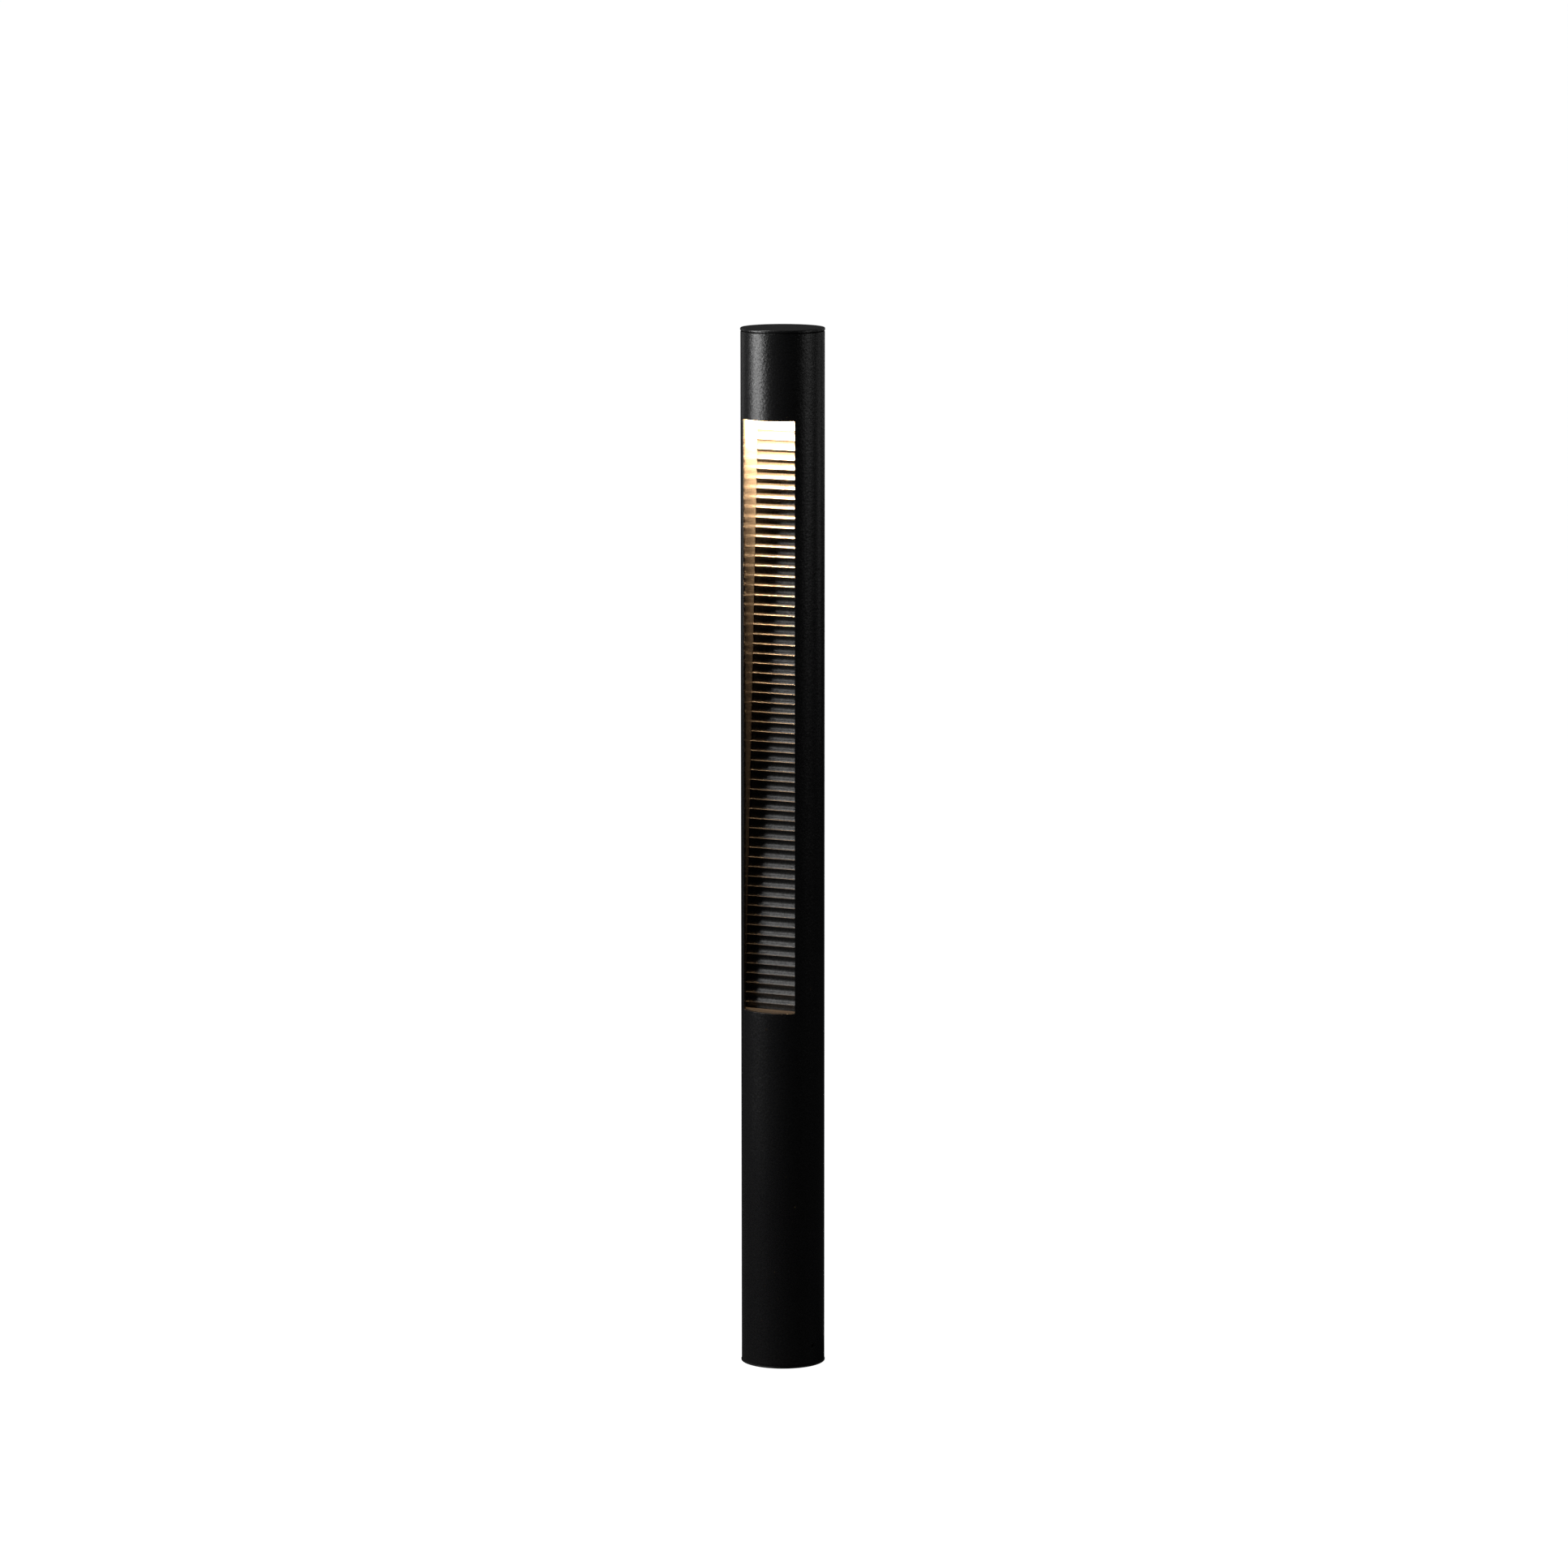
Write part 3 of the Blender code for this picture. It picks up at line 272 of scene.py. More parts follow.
def rod(radius, z0, z1, segs=32, at=ORIGIN, axis=UP, into=None):
    return loft([(0, z0), (radius, z0), (radius, z1), (0, z1)], segs, at, axis, into=into)


def band(inner, outer, z0, z1, edges, segs=ROUND):
    """A flat ring, its lower and upper edges rounded by the two radii."""
    low, high = edges
    outline = [(inner, z0, low), (outer, z0, low), (outer, z1, high), (inner, z1, high)]
    return loft(rounded(outline, 3, True), segs, closed=True)


def hole(start, axis, radius, length, chamfer, segs=36, both=False, into=None):
    """A cutter for a chamfered hole, reaching 1 mm out of the surface at its far end.

    With `both`, it does the same at its near end.
    """
    wide = radius + chamfer + 1
    rings = [(0, 0), (wide if both else radius, 0)]
    if both:
        rings.append((radius, chamfer + 1))
    rings += [(radius, length - 1 - chamfer), (wide, length), (0, length)]
    return loft(rings, segs, start, axis, into=into)


def join(part, into=None):
    """Adds the part to the other mesh and frees it."""
    bm = target(into)
    mesh = bpy.data.meshes.new("part")
    part.to_mesh(mesh)
    part.free()
    bm.from_mesh(mesh)
    bpy.data.meshes.remove(mesh)
    return bm


def bevelled(part, edges, width, segments):
    bmesh.ops.bevel(
        part, geom=edges, offset=width, segments=segments, profile=0.5, affect="EDGES"
    )


def box(lo, hi, bevel=0.0, segments=2, into=None):
    part = bmesh.new()
    lo, hi = Vector(lo), Vector(hi)
    matrix = Matrix.Translation((lo + hi) / 2) @ Matrix.Diagonal((*(hi - lo), 1))
    bmesh.ops.create_cube(part, size=1.0, matrix=matrix)
    if bevel:
        bevelled(part, part.edges[:], bevel, segments)
    return join(part, into)


def prism(outline, lo, hi, along="X", bevel=0.0, segments=2):
    """A flat outline extruded along X (points are y, z) or along Z (points are x, y)."""
    part = bmesh.new()
    if along == "X":
        points, step = [(lo, a, b) for a, b in outline], Vector((hi - lo, 0, 0))
    else:
        points, step = [(a, b, lo) for a, b in outline], Vector((0, 0, hi - lo))
    face = part.faces.new([part.verts.new(p) for p in points])
    made = bmesh.ops.extrude_face_region(part, geom=[face])["geom"]
    moved = [v for v in made if isinstance(v, bmesh.types.BMVert)]
    bmesh.ops.translate(part, vec=step, verts=moved)
    bmesh.ops.recalc_face_normals(part, faces=part.faces)
    if bevel:
        edges = [e for e in part.edges if e.calc_face_angle(0) > math.radians(40)]
        bevelled(part, edges, bevel, segments)
    return join(part)


def lead(controls, radius, sides, steps, end=UP, skin=0.25):
    """A round lead along a smooth path that sets off upwards, with rounded rims.

    Its far end is square to the end direction.
    """
    bm = bmesh.new()
    path = smooth_path(controls, steps)
    rings, side = [], None
    last = len(path) - 1
    for i, p in enumerate(path):
        ahead = path[min(i + 1, last)] - path[max(i - 1, 0)]
        if i == 0:
            ahead = Vector(UP)
        if i == last:
            ahead = Vector(end)
        ahead = ahead.normalized()
        if side is None:
            side = ahead.orthogonal().normalized()
        side = (side - ahead * side.dot(ahead)).normalized()
        other = ahead.cross(side)
        small, middle = radius - skin, radius - skin * 0.3
        spots = [(p, radius)]
        if i == 0:
            spots = [(p, small), (p + ahead * skin * 0.3, middle), (p + ahead * skin, radius)]
        if i == last:
            spots = [(p - ahead * skin, radius), (p - ahead * skin * 0.3, middle), (p, small)]
        for q, r in spots:
            ring = []
            for k in range(sides):
                a = math.tau * k / sides
                ring.append(bm.verts.new(q + r * (math.cos(a) * side + math.sin(a) * other)))
            rings.append(ring)
    for a, b in zip(rings, rings[1:]):
        bridge(bm, a, b)
    bm.faces.new(rings[0])
    bm.faces.new(rings[-1])
    return bm


# ---------------------------------------------------------------- objects
def link_new(name, data):
    obj = bpy.data.objects.new(name, data)
    SCENE.collection.objects.link(obj)
    return obj


def solid(name, bm):
    """The mesh, still in millimetres, as an object."""
    bmesh.ops.recalc_face_normals(bm, faces=bm.faces)
    mesh = bpy.data.meshes.new(name)
    bm.to_mesh(mesh)
    bm.free()
    return link_new(name, mesh)


def boolean(obj, operation, bm):
    """Applies the mesh to obj and keeps only the result."""
    tool = solid("tool", bm)
    mod = obj.modifiers.new("tool", "BOOLEAN")
    mod.operation = operation
    mod.solver = "EXACT"
    mod.object = tool
    graph = bpy.context.evaluated_depsgraph_get()
    graph.update()
    mesh = bpy.data.meshes.new_from_object(obj.evaluated_get(graph))
    obj.modifiers.clear()
    old, obj.data = obj.data, mesh
    used = tool.data
    bpy.data.objects.remove(tool)
    bpy.data.meshes.remove(used)
    bpy.data.meshes.remove(old)


def piece(node, mat, blank, *booleans, loose=None, sharp=32, weighted=True):
    """The visible piece of a CAD node: a blank, then (operation, mesh) pairs in turn.

    A loose mesh is put in afterwards as it is.
    """
    obj = solid(f"{node}_look", blank)
    for operation, tool in booleans:
        boolean(obj, operation, tool)
    if loose is not None:
        bm = bmesh.new()
        bm.from_mesh(obj.data)
        join(loose, bm)
        bm.to_mesh(obj.data)
        bm.free()
    obj.data.transform(Matrix.Scale(0.001, 4))
    obj.data.name = obj.name
    obj.data.materials.clear()
    obj.data.materials.append(mat)
    obj.data.shade_smooth()
    obj.data.set_sharp_from_angle(angle=math.radians(sharp))
    if weighted:
        mod = obj.modifiers.new("normals", "WEIGHTED_NORMAL")
        mod.keep_sharp = True
        mod.weight = 60
    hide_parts(node)
    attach(obj, BODY[node])


# ---------------------------------------------------------------- material helpers
def feed(tree, socket, value):
    """Sets the socket to a number or colour, or links an output to it."""
    if isinstance(value, tuple):
        socket.default_value = (*value, 1) if socket.type == "RGBA" else value
    elif isinstance(value, (int, float)):
        socket.default_value = value
    else:
        tree.links.new(value, socket)


def add_node(tree, kind, inputs=None, **settings):
    node = tree.nodes.new(kind)
    for key, value in settings.items():
        setattr(node, key, value)
    for key, value in (inputs or {}).items():
        feed(tree, node.inputs[key], value)
    return node


def scaled(colour, factor):
    return tuple(min(1, c * factor) for c in colour)


class Look:
    """Short names for building a node material. Lengths are in metres."""

    def __init__(self, name):
        self.mat = bpy.data.materials.new(name)
        self.mat.use_nodes = True
        self.tree = self.mat.node_tree
        self.bsdf = self.tree.nodes["Principled BSDF"]
        self.coord = self.node("ShaderNodeTexCoord").outputs["Object"]

    def node(self, kind, inputs=None, **settings):
        return add_node(self.tree, kind, inputs, **settings)

    def noise(self, scale, detail=2.0, rough=0.5, vector=None):
        inputs = {"Scale": scale, "Detail": detail, "Roughness": rough}
        inputs["Vector"] = vector or self.coord
        return self.node("ShaderNodeTexNoise", inputs).outputs["Fac"]

    def cells(self, scale):
        """Distance to the nearest of scattered points."""
        inputs = {"Scale": scale, "Vector": self.coord}
        return self.node("ShaderNodeTexVoronoi", inputs).outputs["Distance"]

    def stretch(self, scale):
        inputs = {"Scale": scale, "Vector": self.coord}
        return self.node("ShaderNodeMapping", inputs).outputs["Vector"]

    def remap(self, value, to, span=(0.3, 0.7), smooth=False):
        """Maps the span of the value onto `to`. The default span suits a noise."""
        inputs = {"From Min": span[0], "From Max": span[1], "To Min": to[0], "To Max": to[1]}
        curve = "SMOOTHSTEP" if smooth else "LINEAR"
        node = self.node("ShaderNodeMapRange", inputs, interpolation_type=curve)
        self.tree.links.new(value, node.inputs["Value"])
        return node.outputs["Result"]

    def math(self, operation, *values):
        inputs = dict(enumerate(values))
        return self.node("ShaderNodeMath", inputs, operation=operation).outputs[0]

    def mix(self, factor, first, second):
        inputs = {0: factor, 6: first, 7: second}  # the sockets used for colours
        return self.node("ShaderNodeMix", inputs, data_type="RGBA").outputs[2]

    def bump(self, height, depth, strength, normal=None):
        inputs = {"Distance": depth, "Strength": strength, "Height": height}
        if normal is not None:
            inputs["Normal"] = normal
        return self.node("ShaderNodeBump", inputs).outputs["Normal"]

    def lamp_distance(self):
        """Distance from the vertical line through the lamp."""
        split = self.node("ShaderNodeSeparateXYZ", {0: self.coord})
        x2 = self.math("POWER", split.outputs["X"], 2.0)
        y = self.math("ADD", split.outputs["Y"], -EMITTER_Y / 1000)
        return self.math("SQRT", self.math("ADD", x2, self.math("POWER", y, 2.0)))

    def set(self, **values):
        for key, value in values.items():
            feed(self.tree, self.bsdf.inputs[key.replace("_", " ")], value)


# ---------------------------------------------------------------- materials
def coat(name, colour, rough, grain, peel=1.0, spec=0.5, glint_paint=0.5):
    """Powder coat: an orange peel with finer grains on it, and painted glints: scattered lighter
    spots in the colour that stand for grains catching the light.
    """
    look = Look(name)
    coarse = look.noise(430, detail=3.0, rough=0.6)
    fine = look.noise(1900, rough=0.6)
    painted_glint = look.remap(look.cells(1150), (1.0, 0.0), span=(0.05, 0.32), smooth=True)
    cloud = look.noise(9, detail=3.0, rough=0.55)
    grains = look.remap(fine, (0.0, 1.0), span=(0.3, 0.75))
    tint = look.mix(grains, scaled(colour, 0.72), scaled(colour, 1.3))
    # painted glints: the colour is lifted threefold at scattered spots, a painted highlight on the
    # grains
    tint = look.mix(look.math("MULTIPLY", painted_glint, glint_paint), tint, scaled(colour, 3.0))
    uneven = look.math("ADD", look.remap(fine, (-0.07, 0.07)), look.remap(cloud, (-0.03, 0.03)))
    normal = look.bump(coarse, depth=0.00042 * peel, strength=0.65)
    normal = look.bump(fine, depth=0.00005 * grain, strength=0.6, normal=normal)
    look.set(Base_Color=tint, Roughness=look.math("ADD", uneven, rough), Normal=normal)
    gloss = look.noise(560, rough=0.55)
    look.set(Specular_IOR_Level=look.remap(gloss, (spec * 0.6, spec * 1.45)))
    return look.mat


def metal(name, colour, rough, brushed=None):
    """Bare metal: brushed, with its noise scaled per axis, or cast with a fine skin."""
    look = Look(name)
    if brushed:
        lines = look.noise(400, detail=4.0, rough=0.65, vector=look.stretch(brushed))
    else:
        lines = look.noise(700, detail=3.0, rough=0.6)
    cloud = look.noise(60, detail=4.0, rough=0.6)
    tint = look.mix(look.remap(cloud, (0.0, 1.0)), scaled(colour, 0.82), colour)
    dark_lines = look.remap(lines, (0.0, 0.35), span=(0.35, 0.8))
    tint = look.mix(dark_lines, tint, scaled(colour, 0.6))
    roughness = look.math("ADD", look.remap(lines, (-0.08, 0.1)), rough)
    normal = look.bump(lines, depth=0.00002 if brushed else 0.00008, strength=0.5)
    if not brushed:
        skin = look.noise(240, detail=3.0, rough=0.6)
        normal = look.bump(skin, depth=0.00012, strength=0.5, normal=normal)
    look.set(Base_Color=tint, Roughness=roughness, Metallic=1.0, Normal=normal)
    return look.mat


def plastic(name, colour, rough, grain=1.0, spec=0.5, soft=0.0, scale=1500):
    """Moulded plastic or rubber with a spark-eroded skin and faint handling marks."""
    look = Look(name)
    skin = look.noise(scale, rough=0.6)
    cloud = look.noise(70, detail=4.0, rough=0.6)
    tint = look.mix(look.remap(cloud, (0.0, 1.0)), scaled(colour, 0.88), scaled(colour, 1.06))
    streaks = look.noise(300, detail=5.0, rough=0.7, vector=look.stretch((1, 1, 0.2)))
    marks = look.remap(streaks, (0.0, 0.06), span=(0.55, 0.75))
    even = look.math("ADD", look.remap(skin, (-0.05, 0.05)), rough)
    look.set(
        Base_Color=tint,
        Roughness=look.math("ADD", even, marks),
        Normal=look.bump(skin, depth=0.00004 * grain, strength=0.5),
        Specular_IOR_Level=spec,
    )
    if soft:
        look.set(Subsurface_Weight=soft, Subsurface_Scale=0.002)
    return look.mat


def earth_sheath():
    """Slanting green and yellow stripes."""
    look = Look("sheath_green_yellow")
    wave = look.node(
        "ShaderNodeTexWave",
        {"Scale": 70, "Distortion": 0.3, "Vector": look.coord},
        wave_type="BANDS",
        bands_direction="DIAGONAL",
    )
    stripe = look.remap(wave.outputs["Fac"], (0.0, 1.0), span=(0.62, 0.7), smooth=True)
    look.set(
        Base_Color=look.mix(stripe, (0.05, 0.26, 0.06), (0.78, 0.62, 0.05)),
        Roughness=look.remap(look.noise(900), (0.36, 0.52)),
        Normal=look.bump(look.noise(1200), depth=0.00003, strength=0.4),
    )
    return look.mat


def board_mask():
    """White solder mask with a faint brick pattern."""
    look = Look("solder_mask_white")
    inputs = {
        "Scale": 150,
        "Mortar Size": 0.03,
        "Color1": (0.84, 0.84, 0.82),
        "Color2": (0.87, 0.87, 0.85),
        "Mortar": (0.7, 0.69, 0.64),
        "Vector": look.coord,
    }
    grid = look.node("ShaderNodeTexBrick", inputs, offset=0.5)
    look.set(
        Base_Color=grid.outputs["Color"],
        Roughness=look.remap(look.noise(1100), (0.28, 0.42)),
        Normal=look.bump(grid.outputs["Fac"], depth=0.00004, strength=0.4),
    )
    return look.mat


def phosphor():
    """The lamp's round phosphor, glowing inside its pale dam ring."""
    look = Look("phosphor_glow")
    rim = (0.0053, 0.0057)
    inside = look.remap(look.lamp_distance(), (1.0, 0.0), span=rim, smooth=True)
    dots = look.remap(look.cells(900), (14.0, 9.0), span=(0.0, 0.6))
    look.set(
        Base_Color=look.mix(inside, (0.86, 0.85, 0.8), (1.0, 0.74, 0.24)),
        Roughness=look.remap(look.noise(800), (0.3, 0.5)),
        Emission_Color=(1.0, 0.8, 0.55),
        Emission_Strength=look.math("MULTIPLY", inside, dots),
    )
    return look.mat


def diffuser():
    """Frosted sheet with a painted glow of the lamp's light shining through it, brightest under the
    lamp; it casts no shadow.
    """
    look = Look("diffuser_frosted")
    distance = look.lamp_distance()
    frost = look.noise(1600, detail=3.0, rough=0.65)
    painted_glow_falloff = look.remap(distance, (7.0, 0.8), span=(0.0, 0.030), smooth=True)
    pale, bright = (0.88, 0.87, 0.83), (0.95, 0.94, 0.91)
    look.set(
        Base_Color=look.mix(look.remap(frost, (0.0, 1.0)), pale, bright),
        Roughness=look.remap(frost, (0.38, 0.55)),
        Transmission_Weight=0.15,
        # painted glow: emission stands in for the lamp's light passing through the sheet
        Emission_Color=(1.0, 0.8, 0.56),
        Emission_Strength=look.math("MULTIPLY", painted_glow_falloff, look.remap(frost, (0.85, 1.15))),
        Normal=look.bump(frost, depth=0.00003, strength=0.5),
    )
    path = look.node("ShaderNodeLightPath")
    clear = look.node("ShaderNodeBsdfTransparent")
    shaders = {0: path.outputs["Is Shadow Ray"], 1: look.bsdf.outputs[0], 2: clear.outputs[0]}
    pick = look.node("ShaderNodeMixShader", shaders)
    output = look.tree.nodes["Material Output"]
    look.tree.links.new(pick.outputs[0], output.inputs["Surface"])
    return look.mat


POST = coat("powder_coat_black", (0.0075, 0.0075, 0.008), rough=0.30, grain=1.0, spec=0.42)
WELL = coat(
    "powder_coat_well", (0.018, 0.0175, 0.017), rough=0.42, grain=1.0, peel=0.8, glint_paint=0.8
)
RIB = coat(
    "powder_coat_ribs", (0.009, 0.0088, 0.0085), rough=0.34, grain=0.6, peel=0.15, glint_paint=0.4
)
BASE = coat("powder_coat_base", (0.010, 0.010, 0.0105), rough=0.44, grain=1.2, peel=1.4)
RUBBER = plastic("rubber_black", (0.012, 0.012, 0.012), rough=0.72, grain=1.5, spec=0.35)
STEEL = metal("stainless_turned", (0.58, 0.58, 0.59), rough=0.24, brushed=(1, 1, 6))
DARK = metal("stainless_blackened", (0.055, 0.055, 0.058), rough=0.3, brushed=(1, 1, 6))
ZINC = metal("zinc_sheet", (0.6, 0.62, 0.65), rough=0.34, brushed=(6, 6, 0.4))
ALU = metal("aluminium_cast", (0.64, 0.64, 0.66), rough=0.38)
BRASS = metal("brass_nickelled", (0.66, 0.62, 0.53), rough=0.26, brushed=(1, 1, 8))
CASE = plastic("case_white", (0.78, 0.78, 0.76), rough=0.42, soft=0.05)
TERMINAL = plastic("terminal_grey", (0.5, 0.51, 0.5), rough=0.42)
CONNECTOR = plastic("connector_black", (0.02, 0.02, 0.022), rough=0.4)
CABLE = plastic("cable_sheath_black", (0.016, 0.016, 0.016), rough=0.52, grain=1.3)
LEAD = plastic("lead_sheath_grey", (0.26, 0.26, 0.27), rough=0.46, grain=0.8)
EARTH = earth_sheath()
BOARD = board_mask()
PAD = plastic("pad_silicone", (0.3, 0.4, 0.56), rough=0.6, grain=2.5, scale=900)
PHOSPHOR = phosphor()
LENS = diffuser()


def screw(node, at, axis, head, shank, socket, sunk=0.0, pitch=0.6, plain=0.0, segs=36, mat=STEEL):
    """A socket screw: the underside of its head is at `at`, and its shank runs along the axis.

    Head and shank are (radius, length), and the socket is measured across its flats.
    """
    head_r, head_h = head
    shank_r, shank_l = shank
    floor_z = -head_h + 0.6 * head_h
    rings = [
        (0, floor_z),
        (hexagon(socket), floor_z - 0.15),
        (hexagon(socket), -head_h + 0.14),
        (hexagon(socket + 0.26), -head_h),
    ]
    if sunk:
        profile = [
            (socket / 2 + 0.4, -head_h), (head_r, -head_h, 0.1), (head_r, -head_h + sunk),
            (shank_r, 0, 0.2), (shank_r, 0.6),
        ]
    else:
        profile = [
            (socket / 2 + 0.3, -head_h), (head_r, -head_h, min(0.35, 0.3 * head_h)),
            (head_r, 0, 0.12), (shank_r, 0, 0.08), (shank_r, 0.4),
        ]
    rings += rounded(profile, 3)[1:]
    depth = min(0.2, 0.14 * shank_r)
    rings += thread(shank_r, max(plain, 0.65), shank_l - 0.35, pitch, depth)
    rings += [(shank_r - 0.32, shank_l), (0, shank_l)]
    piece(node, mat, loft(rings, segs, at, axis), sharp=40, weighted=False)


# All outlines below that turn about an axis are lists of (radius, height, corner radius).

# ---------------------------------------------------------------- base
outline = [
    (0, 0), (LIP_R, 0, 0.3), (LIP_R, LIP_H, 0.4), (SPIGOT_R, LIP_H, 0.25),
    (SPIGOT_R, 16.0), (SPIGOT_R - 0.15, 16.4), (SPIGOT_R - 0.15, 23.6), (SPIGOT_R, 24.0),
    (SPIGOT_R, SPIGOT_TOP - 1.5, 0.4), (SPIGOT_R - 1.5, SPIGOT_TOP, 0.4),
    (SPIGOT_IN, SPIGOT_TOP, 0.5), (SPIGOT_IN, FLOOR_H, 2.4), (0, FLOOR_H),
]
cut = hole((0, 0, -1), UP, 10, FLOOR_H + 2, 0.5, segs=96, both=True)
FLOOR_HOLE_CIRCLE = 22
for angle in (-30, 90, 210):
    a = math.radians(angle)
    start = (FLOOR_HOLE_CIRCLE * math.cos(a), FLOOR_HOLE_CIRCLE * math.sin(a), -1)
    hole(start, UP, 4.5, FLOOR_H + 2, 0.5, segs=48, both=True, into=cut)
hole((0, STUD_AT[1], 4.7), UP, 2.7, 6.3, 0.4, into=cut)
for side in SIDES.values():
    hole((side * TRAY_SCREW_X, TRAY_SCREW_Y, 3), UP, 1.7, 8, 0.3, into=cut)
seal_groove = [(31, -1), (34.4, -1), (34.4, 1.2), (31, 1.2)]
loft(seal_groove, ROUND, closed=True, into=cut)
piece("base_flange", BASE, loft(rounded(outline, 5), ROUND), (CUT, cut))
piece("foot_seal", RUBBER, band(31.3, 34.1, 0, 0.9, edges=(0.25, 0.3)))

# ---------------------------------------------------------------- cable gland and mains cable
GLAND_FLATS = 24
flats = hexagon(GLAND_FLATS, turn=math.pi / 6)
ends = hexagon(GLAND_FLATS, 12.6, math.pi / 6)
body = [
    (6.2, 2.0), (6.7, 1.5), (9.2, 1.5),
    *thread(9.7, 2.0, 9.9, pitch=1.5, depth=0.6, per=6),
    (9.5, 10.3), (11.9, 10.3), (ends, 10.45), (flats, 11.1),
    (flats, 15.5), (ends, 16.15), (11.9, 16.3), (8.6, 16.3),
    *thread(8.6, 16.5, 24.4, pitch=1.5, depth=0.5, per=6),
    (8.2, 25.0), (6.6, 25.0), (6.2, 24.6),
]
piece("cable_gland_body", BRASS, loft(body, 72, closed=True), sharp=38)
piece("gland_seal", RUBBER, band(4.8, 5.9, 17, 24.9, edges=(0.2, 0.2), segs=64))

dome = [
    (11.5, 24.6), (11.5, 25.5, 0.6), (10, 28.6, 1.0), (7.5, 30.4, 0.6),
    (4.9, 30.4, 0.3), (4.9, 26.6), (8.95, 25.4),
]
nut = [
    (8.95, 17.0), (9.4, 16.6), (11.9, 16.6), (ends, 16.75), (flats, 17.4),
    (flats, 23.8), (ends, 24.45), (11.9, 24.6),
    *rounded(dome, 4),
]
piece("gland_dome_nut", BRASS, loft(nut, 72, closed=True), sharp=38)

path = [(0, 0, 1), (0, 0, 30), (0.6, -1.2, 48), (0, 0, 63.7)]
piece("mains_cable", CABLE, lead(path, 4.5, sides=40, steps=12, skin=0.5))

# ---------------------------------------------------------------- gear tray
TRAY_Y0, TRAY_Y1, TRAY_TOP = 14.3, 16.3, 268.0
TRAY_Z0 = FLOOR_H + GAP
MOUNT_Y = TRAY_Y0 - GAP  # back of what is mounted on the tray
TERMINAL_Z = 73.0
DRIVER_Z = 170.0
DRIVER_SCREW_Z = {"lower": DRIVER_Z - 64.5, "upper": DRIVER_Z + 64.5}

outline = [  # y, z, corner radius: an upright sheet with a foot bent to the back
    (TRAY_Y0, TRAY_Z0, 2.4), (22.5, TRAY_Z0), (22.5, TRAY_Z0 + 2),
    (TRAY_Y1, TRAY_Z0 + 2, 0.5), (TRAY_Y1, TRAY_TOP), (TRAY_Y0, TRAY_TOP),
]
cut = bmesh.new()
for x0, x1 in ((-40, -20), (-10, 10), (20, 40)):  # leaves two tabs of the foot
    box((x0, TRAY_Y1 + 0.6, 5), (x1, 40, 20), into=cut)
for side in SIDES.values():
    rod(1.7, 5, 15, 36, (side * TRAY_SCREW_X, TRAY_SCREW_Y, 0), into=cut)
for z in (TERMINAL_Z, *DRIVER_SCREW_Z.values()):
    rod(1.9, 10, 20, 36, (0, 0, z), BACK, into=cut)
piece("gear_tray", ZINC, prism(rounded(outline, 5, True), -25, 25, bevel=0.15), (CUT, cut))
for name, side in SIDES.items():
    at = (side * TRAY_SCREW_X, TRAY_SCREW_Y, TRAY_Z0 + 2.3)
    screw(f"tray_screw_{name}", at, DOWN, head=(2.8, 2.4), shank=(1.4, 8.8), socket=2.5, pitch=0.5)

# ---------------------------------------------------------------- terminal block
FRONT_Y = MOUNT_Y - 21.7
TERMINAL_Z0, TERMINAL_Z1 = TERMINAL_Z - 9, TERMINAL_Z + 9
CONTACT_X, CONTACT_Z = (-9, 9), (TERMINAL_Z - 4, TERMINAL_Z + 4)
well_floor = MOUNT_Y - 21.2
bore = [(0, -20), (3.7, -20), (3.7, well_floor), (1.9, well_floor), (1.9, 20), (0, 20)]
cut = loft(bore, 40, (0, 0, TERMINAL_Z), BACK)
contact_bore = [(0, -20), (2.6, -20), (2.6, -7.2), (2.0, -6.6), (2.0, -3), (0, -3)]
wire_entry = [(0, -2), (3.2, -2), (3.0, 0), (1.7, 1.6), (1.7, 2.6), (0, 2.6)]
for x in CONTACT_X:
    for z in CONTACT_Z:
        loft(contact_bore, 32, (x, 0, z), BACK, into=cut)
    for z, axis in ((TERMINAL_Z0, UP), (TERMINAL_Z1, DOWN)):
        loft(wire_entry, 32, (x, 3, z), axis, into=cut)
upright_slits = [
    box((x - 0.35, MOUNT_Y - 23, TERMINAL_Z0 - 1), (x + 0.35, MOUNT_Y - 20.6, TERMINAL_Z1 + 1))
    for x in (-4.6, 4.6)
]
level_slits = [
    box((-15, MOUNT_Y - 22.5, z - 0.25), (15, MOUNT_Y - 21.2, z + 0.25)) for z in (66.2, 79.8)
]
contacts = bmesh.new()
contact = rounded([(0, -3.2), (1.85, -3.2), (1.85, -4.6, 0.3), (0, -4.6)], 3)
for x in CONTACT_X:
    for z in CONTACT_Z:
        loft(contact, 32, (x, 0, z), BACK, into=contacts)
piece(
    "terminal_block",
    TERMINAL,
    box((-14, FRONT_Y, TERMINAL_Z0), (14, MOUNT_Y, TERMINAL_Z1), 0.9, 3),
    (CUT, cut),
    *[(CUT, slit) for slit in upright_slits + level_slits],
    loose=contacts,
)
at = (0, MOUNT_Y - 22, TERMINAL_Z)
screw("terminal_block_screw", at, BACK, head=(3.2, 2), shank=(1.6, 26), socket=2.5, plain=12)

